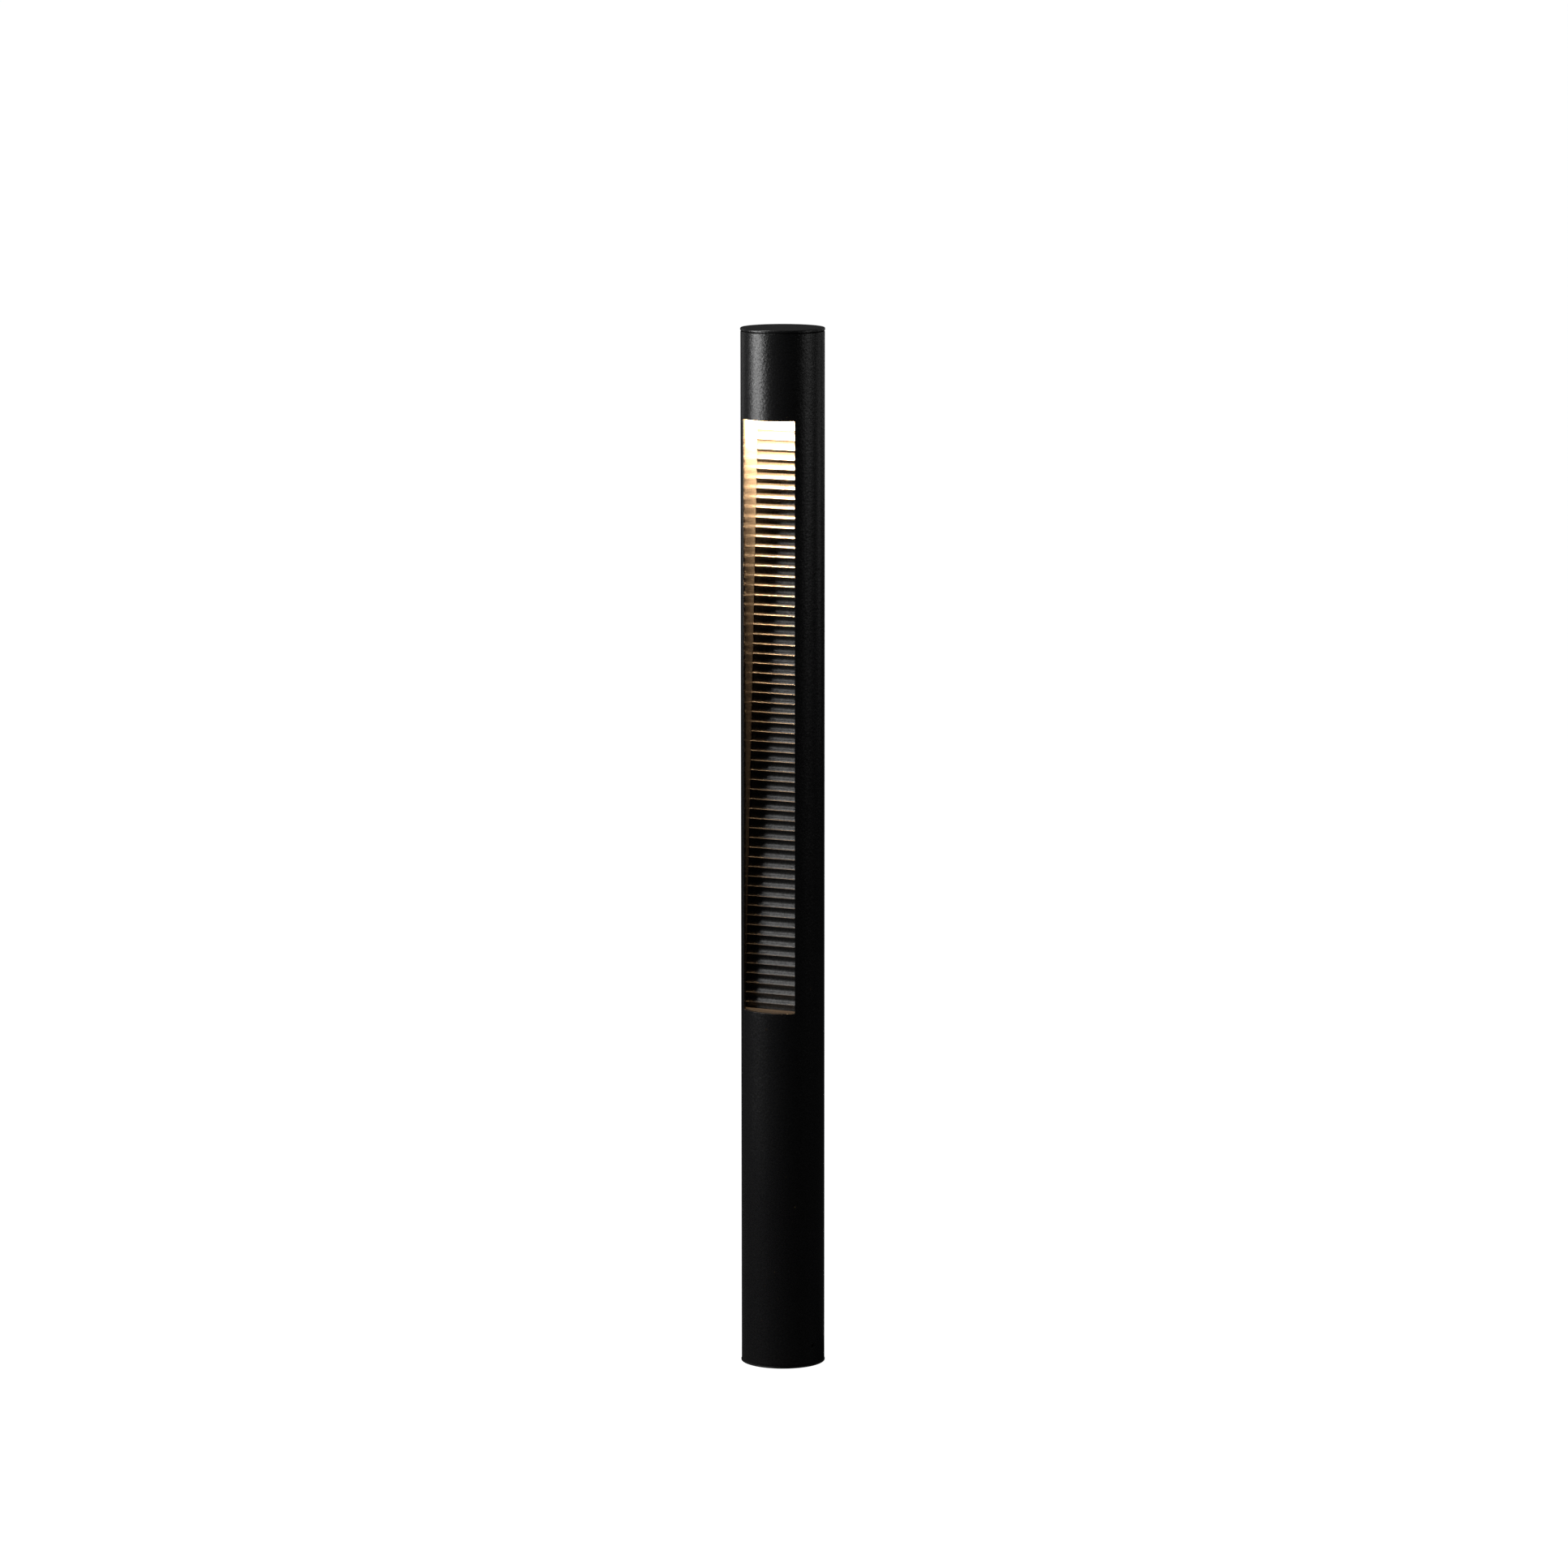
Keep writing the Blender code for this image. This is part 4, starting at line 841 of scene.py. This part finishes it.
# ---------------------------------------------------------------- driver
body = box((-18, MOUNT_Y - 21.2, DRIVER_Z - 60), (18, MOUNT_Y, DRIVER_Z + 60), 1.8, 4)
tabs = box((-9, MOUNT_Y - 3.3, DRIVER_Z - 69), (9, MOUNT_Y - 0.5, DRIVER_Z + 69), 0.4, 2)
cut = bmesh.new()
for z in DRIVER_SCREW_Z.values():
    rod(2, 5, 17, at=(0, 0, z), axis=BACK, into=cut)
box(  # shallow field on the front
    (-14, MOUNT_Y - 24, DRIVER_Z - 36), (14, MOUNT_Y - 20.8, DRIVER_Z + 36), 0.3, 1, into=cut
)
for side in (-1, 1):
    x = side * 18.6  # seam along each flank
    lo, hi = (x - 1, MOUNT_Y - 11.0, DRIVER_Z - 62), (x + 1, MOUNT_Y - 10.3, DRIVER_Z + 62)
    box(lo, hi, into=cut)
    for k in range(6):  # grooves across the front, above and below the field
        z = DRIVER_Z + side * (42 + 2.2 * k)
        box((-12, MOUNT_Y - 24, z - 0.5), (12, MOUNT_Y - 20.7, z + 0.5), into=cut)
piece("led_driver", CASE, body, (ADD, tabs), (CUT, cut))
for end, z in DRIVER_SCREW_Z.items():
    at = (0, MOUNT_Y - 3.6, z)
    screw(f"driver_screw_{end}", at, BACK, head=(3.4, 2.2), shank=(1.6, 7.2), socket=2.5)

path = [(-6, 3, 82.3), (-8, 0, 95), (-6, 3, 109.7)]
piece("ac_lead", CABLE, lead(path, 2.6, sides=32, steps=14))

# ---------------------------------------------------------------- earth stud, nut and lead
stud = [(0, 5), (2.2, 5), *thread(2.4, 5.2, 25.4, pitch=0.8, depth=0.3), (1.9, 26), (0, 26)]
piece("earth_stud", BRASS, loft(stud, 40, STUD_AT), sharp=40)
flats, ends = hexagon(8), hexagon(8, 4.2)
nut = [
    (2.7, 13.6), (2.95, 13.4), (3.7, 13.4), (ends, 13.5), (flats, 13.9),
    (flats, 16.9), (ends, 17.3), (3.7, 17.4), (2.95, 17.4), (2.7, 17.2),
]
piece("earth_nut", STEEL, loft(nut, 48, STUD_AT, closed=True), sharp=38)
lug = rounded([(2.7, 12.1), (5.6, 12.1, 0.3), (5.6, 13.1, 0.3), (2.7, 13.1)], 3, True)
path = [(5.35, -18.45, 12.4), (6.5, -17, 22), (4, -15, 42), (9, -3, 63.7)]
wire = lead(path, 1.5, sides=24, steps=12)
piece("earth_lead", EARTH, loft(lug, 64, STUD_AT, closed=True), (ADD, wire))

# ---------------------------------------------------------------- driver's output lead and socket
path = [(7, 3, 230.3), (6, 1, 244), (1, -1, 262), (0, 0, 275.7)]
piece("driver_output_lead", LEAD, lead(path, 2.4, sides=32, steps=10))

grip = ridged(7, depth=0.35, count=20)
socket = [
    (0, 276), (5.2, 276), (5.6, 276.4), (6.9, 279), (7, 279.6), (7, 281),
    (grip, 281.4), (grip, 289.6), (7, 290), (7, 290.8), (6.5, 291), (6.5, 292),
    (7, 292.2), (7, 299.6), (6.6, 300), (5.4, 300), (5, 299.6), (5, 292), (0, 292),
]
piece("inline_socket", CONNECTOR, loft(socket, 120), sharp=38)

# ---------------------------------------------------------------- ring under the post
z = LIP_H + GAP
piece("seat_gasket", RUBBER, band(37.2, 39.6, z, z + 0.6, edges=(0.2, 0.2)))


# ---------------------------------------------------------------- post tube
def window_cutter(half, z0, z1, corner, edge, radius):
    """A plug through the wall whose sides flare at the surface, to round the window's edge."""
    spots = []  # (x, z, direction of the outward offset)
    count = 40
    for side_x, side_z, first in ((1, 1, 0), (-1, 1, 90), (-1, -1, 180), (1, -1, 270)):
        edge_z = z1 if side_z > 0 else z0
        cx, cz = side_x * (half - corner), edge_z - side_z * corner
        for k in range(5):
            a = math.radians(first + 22.5 * k)
            dx, dz = math.cos(a), math.sin(a)
            spots.append((cx + corner * dx, cz + corner * dz, dx, dz))
        if side_x == side_z:  # the level edges, divided to follow the tube
            for k in range(1, count):
                spots.append((cx * (1 - 2 * k / count), edge_z, 0, side_z))
    stations = []  # (distance from the tube's axis, outward offset)
    for k in range(6):
        a = math.radians(15 * k)
        stations.append((radius - edge + edge * math.sin(a), edge - edge * math.cos(a)))
    depth, flare = stations[-1]
    past = 3  # how far the cutter runs on beyond the rounded edge
    widest = flare + past * math.sin(a)
    stations.append((depth + past * math.cos(a), widest))

    bm = bmesh.new()

    def ring(offset, y_at):
        made = []
        for x, z, dx, dz in spots:
            x, z = x + dx * offset, z + dz * offset
            made.append(bm.verts.new((x, y_at(x), z)))
        return made

    rings = [ring(0.0, lambda x: -5.0)]
    rings += [ring(offset, lambda x: -math.sqrt(r**2 - x**2)) for r, offset in stations]
    rings.append(ring(widest, lambda x: -60.0))
    for a, b in zip(rings, rings[1:]):
        bridge(bm, a, b)
    bm.faces.new(rings[0])
    bm.faces.new(rings[-1])
    return bm


levels = [60, 150, 250, WINDOW_Z0 - 2.5, WINDOW_Z1 + 2.5, 950]
outline = [
    (TUBE_IN, TUBE_Z0, 0.3), (TUBE_R, TUBE_Z0, 0.45),
    *[(TUBE_R, z) for z in levels],
    (TUBE_R, TUBE_Z1, 0.4), (TUBE_IN, TUBE_Z1, 0.3),
    *[(TUBE_IN, z) for z in reversed(levels)],
]
tube = loft(rounded(outline, 4, True), ROUND, closed=True)
window = window_cutter(WINDOW_HALF, WINDOW_Z0, WINDOW_Z1, corner=0.5, edge=0.3, radius=TUBE_R)
cut = bmesh.new()
for angle in GRUB_ANGLES.values():
    way = radial(angle)
    hole(way * 30 + Vector((0, 0, GRUB_Z)), way, 2.5, 11, 0.3, segs=48, into=cut)
hole((0, 30, CAP_GRUB_Z), BACK, 2.3, 11, 0.3, segs=48, into=cut)
countersink = [(0, 30), (2.3, 30), (2.3, 37.3), (4.6, 39.6), (4.8, 39.85), (5.4, 41), (0, 41)]
for z in INSERT_Z.values():
    loft(countersink, 64, (0, 0, z), BACK, into=cut)
piece("post_tube", POST, tube, (CUT, window), (CUT, cut), sharp=30)

# ---------------------------------------------------------------- light well
WELL_R = TUBE_IN - GAP
WELL_Z0, WELL_Z1 = WINDOW_Z0 - WELL_OVERLAP_LOW, WINDOW_Z1 + WELL_OVERLAP_HIGH
BOSS_L = 5.5
outer = [  # y, z
    (-50, WELL_Z0), (web_back(WELL_Z0), WELL_Z0), (web_back(WELL_Z1), WELL_Z1), (-50, WELL_Z1),
]
inner = [
    (-70, WINDOW_Z0), (nose_y(WINDOW_Z0) + WEB_IN, WINDOW_Z0), (nose_y(940) + WEB_IN, 940),
    (-70, 940),
]
bosses, cut = bmesh.new(), bmesh.new()
boss_bore = [(0, -0.6), (2.2, -0.6), (2.2, 5.2), (2.9, 5.9), (2.9, 12), (0, 12)]
for z in INSERT_Z.values():
    y = web_back(z)
    boss = [(0, y - 1), (5.2, y - 1), (4.5, y + 1.0, 1.0), (4.5, y + BOSS_L, 0.4), (0, y + BOSS_L)]
    loft(rounded(boss, 4), 48, (0, 0, z), BACK, into=bosses)
    loft(boss_bore, 40, (0, y, z), BACK, into=cut)
for z in PANEL_SCREW_Z.values():
    rod(1.7, -2, 6, at=(0, nose_y(z) + WEB_IN, z), axis=BACK, into=cut)
piece(
    "light_well",
    WELL,
    prism(outer, -(WELL_HALF + 1.5), WELL_HALF + 1.5, bevel=0.5, segments=3),
    (ADD, bosses),
    (KEEP, rod(WELL_R, 300, 1000, ROUND)),
    (CUT, prism(inner, -WELL_HALF, WELL_HALF, bevel=0.45, segments=3)),
    (CUT, cut),
    sharp=30,
)

# ---------------------------------------------------------------- ribbed panel
lean = math.atan2(NOSE_TOP - NOSE_BOTTOM, WINDOW_Z1 - WINDOW_Z0)
upslope = Vector((0, math.sin(lean), math.cos(lean)))
outward = Vector((0, -math.cos(lean), math.sin(lean)))
foot = Vector((0, NOSE_BOTTOM, WINDOW_Z0)) - outward * SAGITTA
slope_pitch = (WINDOW_Z1 - WINDOW_Z0) / math.cos(lean) / RIBS
steep = math.asin(slope_pitch / 2 / FLUTE_R)
flank = RIDGE_R * math.sin(steep)  # half the width of a ridge's round nose
FLUTE_STEPS = 20


def rise(u):
    """Height of the fluted face above its valleys at this distance from a ridge's middle."""
    if u < flank:
        return SAGITTA - RIDGE_R + math.sqrt(RIDGE_R**2 - u**2)
    flute = FLUTE_R - math.sqrt(FLUTE_R**2 - (slope_pitch / 2 - u) ** 2)
    return flute + RIDGE_R * (1 / math.cos(steep) - 1)


panel_z0 = WINDOW_Z0 + GAP
offsets = [share * flank for share in (-0.7, -0.3, 0, 0.3, 0.7)]
offsets += [flank + (slope_pitch - 2 * flank) * i / FLUTE_STEPS for i in range(FLUTE_STEPS + 1)]
outline = []  # y, z
for k in range(-1, RIBS + 1):
    ridge = (RIDGE_Z0 - WINDOW_Z0) / math.cos(lean) + slope_pitch * k
    for u in offsets:
        height = rise(min(abs(u), slope_pitch - u))
        p = foot + upslope * (ridge + u) + outward * height
        if panel_z0 + 0.01 < p.z < WINDOW_Z1 - 0.01:
            outline.append((p.y, p.z))
outline.insert(0, (outline[0][0], panel_z0))
outline.append((outline[-1][0], WINDOW_Z1))
outline.append((nose_y(WINDOW_Z1) + PANEL_BACK, WINDOW_Z1))
outline.append((nose_y(panel_z0) + PANEL_BACK, panel_z0))
cut = bmesh.new()
for z in PANEL_SCREW_Z.values():
    rod(1.6, -3, 3, at=(0, nose_y(z) + PANEL_BACK, z), axis=BACK, into=cut)
panel = prism(outline, -(WELL_HALF - GAP), WELL_HALF - GAP)
piece("rib_panel", RIB, panel, (CUT, cut), sharp=30)
for end, z in PANEL_SCREW_Z.items():
    at = (0, web_back(z) + 0.45, z)
    screw(f"panel_screw_{end}", at, FRONT, head=(2.7, 1.8), shank=(1.3, 4.6), socket=2, pitch=0.45)

# ---------------------------------------------------------------- standoffs and screws at the back
for end, z in INSERT_Z.items():
    y0, y1 = web_back(z) + BOSS_L + GAP, 36.4
    mid = (y0 + y1) / 2
    outline = [
        (2.3, y0, 0.2), (4.5, y0, 0.4), (4.5, mid - 2.2), (4.1, mid - 1.8),
        (4.1, mid + 1.8), (4.5, mid + 2.2), (4.5, y1, 0.4), (2.3, y1, 0.2),
    ]
    standoff = loft(rounded(outline, 3, True), 56, (0, 0, z), BACK, closed=True)
    piece(f"insert_standoff_{end}", ALU, standoff)
    screw_y = 37.5
    length = screw_y - web_back(z)
    screw(
        f"insert_screw_{end}", (0, screw_y, z), FRONT, head=(4, 2.2), shank=(1.9, length),
        socket=2.5, sunk=0.2, plain=length - 12, pitch=0.7, segs=48, mat=DARK,
    )

# ---------------------------------------------------------------- low-voltage lead
plug = [
    (0, 293), (4.2, 293), (4.6, 293.4), (4.6, 300.3), (6.6, 300.3), (7, 300.7), (7, 302),
    (grip, 302.4), (grip, 313.5), (7, 314), (7, 318.3), (5.6, 321), (5.2, 321.3), (0, 321.3),
]
piece("inline_plug", CONNECTOR, loft(plug, 120), sharp=38)


def lead_y(z):
    """y of the lead where it runs up behind the light well."""
    return web_back(z) + 4.5


path = [(0, 0, 321.6), (2, 0, 333), (11, -3, 356)]
path += [(HEAD_LEAD_X, lead_y(z), z) for z in (390, 500, 620, 740, 850)]
path += [(HEAD_LEAD_X, 20, 884), (HEAD_LEAD_X, HEAD_LEAD_Y, 895.7)]
piece("dc_lead", LEAD, lead(path, 2.4, sides=28, steps=12))

CLIP_Z = 620
y = lead_y(CLIP_Z)
clip = box((7, y - 4, CLIP_Z - 4), (21, y + 4.6, CLIP_Z + 4), 1.0, 3)
cut = rod(3.1, -10, 10, 40, (HEAD_LEAD_X, y, CLIP_Z))
box((8.6, y + 3.9, CLIP_Z - 2.6), (19.4, y + 6, CLIP_Z + 2.6), into=cut)
piece("lead_clip", CONNECTOR, clip, (CUT, cut))

small_grip = ridged(5, depth=0.25, count=16)
HEAD_LEAD_AT = (HEAD_LEAD_X, HEAD_LEAD_Y, 0)
socket = [
    (0, 896), (3.8, 896), (4.2, 896.4), (5, 898), (small_grip, 898.5), (small_grip, 906.5),
    (5, 907), (5, 911.7), (4.7, 912), (3.7, 912), (3.4, 911.7), (3.4, 905), (0, 905),
]
piece("head_socket", CONNECTOR, loft(socket, 96, HEAD_LEAD_AT), sharp=38)

# ---------------------------------------------------------------- cap
SKIRT_IN, SKIRT_Z0 = 33.4, 982.0
BOLT_X = 26
outline = [
    (0, HEIGHT), (CAP_R - 6, HEIGHT), (CAP_R, HEIGHT, 1.0), (CAP_R, CAP_Z0, 0.25),
    (SPIGOT_R, CAP_Z0, 0.2), (SPIGOT_R, SKIRT_Z0, 0.5), (SKIRT_IN, SKIRT_Z0, 0.4),
    (SKIRT_IN, CAP_Z0 - 0.6, 1.5), (0, CAP_Z0 - 0.6),
]
post = [(0, 940.3), (4, 940.3, 0.4), (4, 990), (5.2, CAP_Z0 + 0.5), (0, CAP_Z0 + 0.5)]
bore = [(0, 935), (2.5, 935), (2.5, 939.9), (1.9, 940.9), (1.9, 957), (0, 958)]
posts, bores = bmesh.new(), bmesh.new()
for side in SIDES.values():
    loft(rounded(post, 4), 48, (side * BOLT_X, 0, 0), into=posts)
    loft(bore, 36, (side * BOLT_X, 0, 0), into=bores)
piece("cap", POST, loft(rounded(outline, 6), ROUND), (ADD, posts), (CUT, bores), sharp=30)

z = TUBE_Z1 + GAP
piece("cap_gasket", RUBBER, band(37, 39.2, z, z + 0.4, edges=(0.15, 0.15)))

# ---------------------------------------------------------------- heat sink
SINK_Z0, SINK_PLATE, SINK_Z1 = 924.9, 934.0, 940.0
BOARD_SCREW_X, BOARD_SCREW_Y = 15, -5
RETAINER = {"front": (0, -34.4), "left": (-20, 10.4), "right": (20, 10.4)}  # screws' x, y
LENS_OPENING = d_outline(30.4, 6.4)

outline = [(0, SINK_Z0), (36.4, SINK_Z0, 0.4), (36.4, SINK_Z1, 0.6), (0, SINK_Z1)]
fins = bmesh.new()
for i in range(-3, 4):
    x = 5.8 * i
    half = math.sqrt(33**2 - x**2)
    box((x - 0.9, -half, SINK_Z1 - 1), (x + 0.9, half, 968), 0.5, 3, into=fins)
holes = bmesh.new()
for side in SIDES.values():
    rod(2.2, -2, 8, at=(side * BOLT_X, 0, SINK_PLATE), into=holes)
for side in SIDES.values():
    rod(1.6, -2, 4, at=(side * BOARD_SCREW_X, BOARD_SCREW_Y, SINK_PLATE), into=holes)
for x, y in RETAINER.values():
    rod(1.25, -2, 6.4, at=(x, y, SINK_Z0), into=holes)
piece(
    "heat_sink",
    ALU,
    loft(rounded(outline, 4), 180),
    (ADD, fins),
    (CUT, box((-50, 12.4, 900), (50, 50, SINK_PLATE))),
    (CUT, prism(LENS_OPENING, 900, SINK_PLATE, "Z")),
    (CUT, holes),
    sharp=30,
)
for name, side in SIDES.items():
    at = (side * BOLT_X, 0, SINK_PLATE - GAP)
    screw(f"head_bolt_{name}", at, UP, head=(3.5, 3), shank=(1.6, 20), socket=3, plain=6)

# ---------------------------------------------------------------- lamp board
BOARD_Z0, BOARD_Z1 = 931.2, 932.8


def board_holes(radius):
    cut = bmesh.new()
    for side in SIDES.values():
        rod(radius, 925, 940, 36, (side * BOARD_SCREW_X, BOARD_SCREW_Y, 0), into=cut)
    return cut


pad = box((-18, -15, 933.1), (18, 5.4, 933.7), 0.15, 2)
piece("thermal_pad", PAD, pad, (CUT, board_holes(1.9)))
outline = rounded([(-19, -16, 1.2), (19, -16, 1.2), (19, 6, 1.2), (-19, 6, 1.2)], 5, True)
board = prism(outline, BOARD_Z0, BOARD_Z1, "Z", 0.12)
piece("led_board", BOARD, board, (CUT, board_holes(1.7)))

top = BOARD_Z0 - GAP
emitter = [
    (0, top - 0.75), (3, top - 0.74), (5.4, top - 0.68), (5.7, top - 0.95), (6.0, top - 1.0),
    (6.35, top - 0.95), (6.55, top - 0.6), (7.0, top - 0.5), (7.0, top), (0, top),
]
piece("led_emitter", PHOSPHOR, loft(emitter, 96, (0, EMITTER_Y, 0)))
for name, side in SIDES.items():
    at = (side * BOARD_SCREW_X, BOARD_SCREW_Y, top)
    screw(f"board_screw_{name}", at, UP, head=(2.7, 1.8), shank=(1.3, 6.2), socket=2, pitch=0.45)

# ---------------------------------------------------------------- lens
seal = prism(d_outline(32.4, 8.2), 923.6, 924.6, "Z", 0.15)
piece("lens_gasket", RUBBER, seal, (CUT, prism(d_outline(30.6, 6.6), 920, 930, "Z")))
piece("diffuser_lens", LENS, prism(d_outline(32.6, 8.4), 920.3, 923.3, "Z", 0.3, 3))
cut = bmesh.new()
bore = [(0, 910), (1.8, 910), (1.8, 919.2), (1.25, 919.2), (1.25, 930), (0, 930)]
for x, y in RETAINER.values():
    loft(bore, 32, (x, y, 0), into=cut)
retainer = prism(d_outline(36.2, 12.2), 918, 920, "Z", 0.3, 3)
piece("lens_retainer", ALU, retainer, (CUT, prism(LENS_OPENING, 910, 930, "Z")), (CUT, cut))
for end, (x, y) in RETAINER.items():
    at = (x, y, 918.9)
    screw(f"retainer_screw_{end}", at, UP, head=(1.5, 1.1), shank=(0.95, 10), socket=1.3, pitch=0.4)

# ---------------------------------------------------------------- head plug and pigtail
plug = [
    (0, 905.5), (2.7, 905.5), (3, 905.8), (3, 912.3), (4.7, 912.3), (5, 912.6), (5, 914),
    (small_grip, 914.4), (small_grip, 921.4), (5, 921.8), (5, 923), (4.1, 924.8), (3.8, 925),
    (0, 925),
]
piece("head_plug", CONNECTOR, loft(plug, 96, HEAD_LEAD_AT), sharp=38)
path = [(HEAD_LEAD_X, HEAD_LEAD_Y, 925.3), (14, 19.8, 928.6), (13, 16.5, 930), (12, 12.7, 930)]
piece("led_pigtail", LEAD, lead(path, 1.4, sides=24, steps=10, end=FRONT, skin=0.15))

# ---------------------------------------------------------------- grub screws
for node, angle, z, radius, across in (
    *((f"grub_screw_{name}", angle, GRUB_Z, 2.2, 2.5) for name, angle in GRUB_ANGLES.items()),
    ("cap_grub_screw", 180.0, CAP_GRUB_Z, 2.0, 2.0),
):
    way = radial(angle)
    rings = [
        (0, 1.75), (hexagon(across), 1.5), (hexagon(across), 0.16),
        (hexagon(across + 0.3), 0.0), (radius - 0.3, 0),
        *thread(radius, 0.3, 2.3, pitch=0.5, depth=0.18, per=6),
        (radius - 0.72, 3.0), (0, 3.0),
    ]
    at = way * (TUBE_R - 0.1) + Vector((0, 0, z))
    piece(node, DARK, loft(rings, 48, at, -way), sharp=40, weighted=False)


# ---------------------------------------------------------------- lights, in metres and watts
def area_light(name, width, tall, power, colour=(1, 1, 1), spread=180):
    light = bpy.data.lights.new(name, "AREA")
    light.shape = "RECTANGLE"
    light.size, light.size_y = width, tall
    light.energy = power
    light.spread = math.radians(spread)
    light.color = colour
    return link_new(name, light)


def lamp(name, spot, tilt, **shape):
    """A warm light of the lamp, which rides with the head."""
    obj = area_light(name, colour=(1.0, 0.62, 0.32), **shape)
    obj.location = spot
    obj.rotation_euler = (math.radians(tilt), 0, 0)
    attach(obj, "head")


lamp("lamp_back", (0, -0.0245, 0.931), tilt=90, width=0.030, tall=0.005, power=29.0)
lamp("lamp_down", (0, -0.006, 0.9195), tilt=11, width=0.044, tall=0.008, power=1.6, spread=31)


def aimed(spot, way):
    """Placement at the spot, looking along the way."""
    return Matrix.Translation(spot) @ way.to_track_quat("-Z", "Y").to_matrix().to_4x4()


CAMERA_AZ = 26.2  # from the window's middle, degrees towards +X
# name, degrees on from the camera, distance, height, width, tall, radiance, height aimed at
SOFTBOXES = (
    ("key_low", -73, 1.6, 0.95, 0.95, 0.8, 8.2, 0.95),
    ("key_high", -64, 1.1, 2.4, 0.7, 1.0, 7.8, 0.7),
    ("side", 74, 2.2, 1.3, 1.0, 1.2, 1.15, 0.8),
    ("rim_right", 118, 2.2, 1.1, 0.6, 1.2, 0.4, 0.8),
    ("back_left", -140, 2.4, 1.2, 0.8, 1.6, 0.35, 0.5),
    ("back_right", 150, 2.4, 1.4, 0.8, 1.6, 0.25, 0.6),
)
for name, turn, distance, height, width, tall, radiance, aim in SOFTBOXES:
    obj = area_light(name, width, tall, power=radiance * math.pi * width * tall)
    spot = radial(CAMERA_AZ + turn) * distance + Vector((0, 0, height))
    obj.matrix_world = aimed(spot, Vector((0, 0, aim)) - spot)

# ---------------------------------------------------------------- world: white to the camera only
world = bpy.data.worlds.new("studio")
SCENE.world = world
world.use_nodes = True
tree = world.node_tree
tree.nodes.clear()
rays = add_node(tree, "ShaderNodeLightPath").outputs["Is Camera Ray"]
dim = add_node(tree, "ShaderNodeBackground", {"Color": (0.5, 0.5, 0.5), "Strength": 0.10})
pale = add_node(tree, "ShaderNodeBackground", {"Color": (1, 1, 1), "Strength": 1.0})
blend = add_node(tree, "ShaderNodeMixShader", {0: rays, 1: dim.outputs[0], 2: pale.outputs[0]})
add_node(tree, "ShaderNodeOutputWorld", {"Surface": blend.outputs[0]})


# ---------------------------------------------------------------- floor
def floor_material():
    """Glowing white to the camera, dark to all other rays."""
    mat = bpy.data.materials.new("floor_pale")
    mat.use_nodes = True
    tree = mat.node_tree
    tree.nodes.remove(tree.nodes["Principled BSDF"])
    rays = add_node(tree, "ShaderNodeLightPath").outputs["Is Camera Ray"]
    shade = add_node(tree, "ShaderNodeBsdfDiffuse", {"Color": (0.05, 0.05, 0.05)})
    seen = add_node(tree, "ShaderNodeBsdfDiffuse", {"Color": (0.25, 0.25, 0.25)})
    glow = add_node(tree, "ShaderNodeEmission", {"Strength": 1.0})
    both = add_node(tree, "ShaderNodeAddShader", {0: seen.outputs[0], 1: glow.outputs[0]})
    pick = add_node(tree, "ShaderNodeMixShader", {0: rays, 1: shade.outputs[0], 2: both.outputs[0]})
    tree.links.new(pick.outputs[0], tree.nodes["Material Output"].inputs["Surface"])
    return mat


bm = bmesh.new()
bmesh.ops.create_circle(bm, cap_ends=True, segments=96, radius=90)
floor_mesh = bpy.data.meshes.new("floor")
bm.to_mesh(floor_mesh)
bm.free()
link_new("floor", floor_mesh)
floor_mesh.materials.append(floor_material())

# ---------------------------------------------------------------- camera and view
SCENE.view_settings.view_transform = "Standard"
SCENE.view_settings.look = "None"
SCENE.view_settings.exposure = 0
SCENE.view_settings.gamma = 1

CAMERA_DISTANCE, CAMERA_HEIGHT = 6.07, 1.491
CAMERA_DIP, CAMERA_ROLL = math.radians(8.8), math.radians(-0.024)
camera = bpy.data.cameras.new("camera")
camera.sensor_width = 36
camera.lens = 147.57
camera.shift_x = 0.00076
camera.shift_y = 0.00792
camera.clip_start, camera.clip_end = 0.1, 300
camera_obj = link_new("camera", camera)
spot = radial(CAMERA_AZ) * CAMERA_DISTANCE + Vector((0, 0, CAMERA_HEIGHT))
way = -radial(CAMERA_AZ) * math.cos(CAMERA_DIP) - Vector((0, 0, math.sin(CAMERA_DIP)))
camera_obj.matrix_world = aimed(spot, way) @ Matrix.Rotation(CAMERA_ROLL, 4, "Z")
SCENE.camera = camera_obj

bpy.context.view_layer.update()
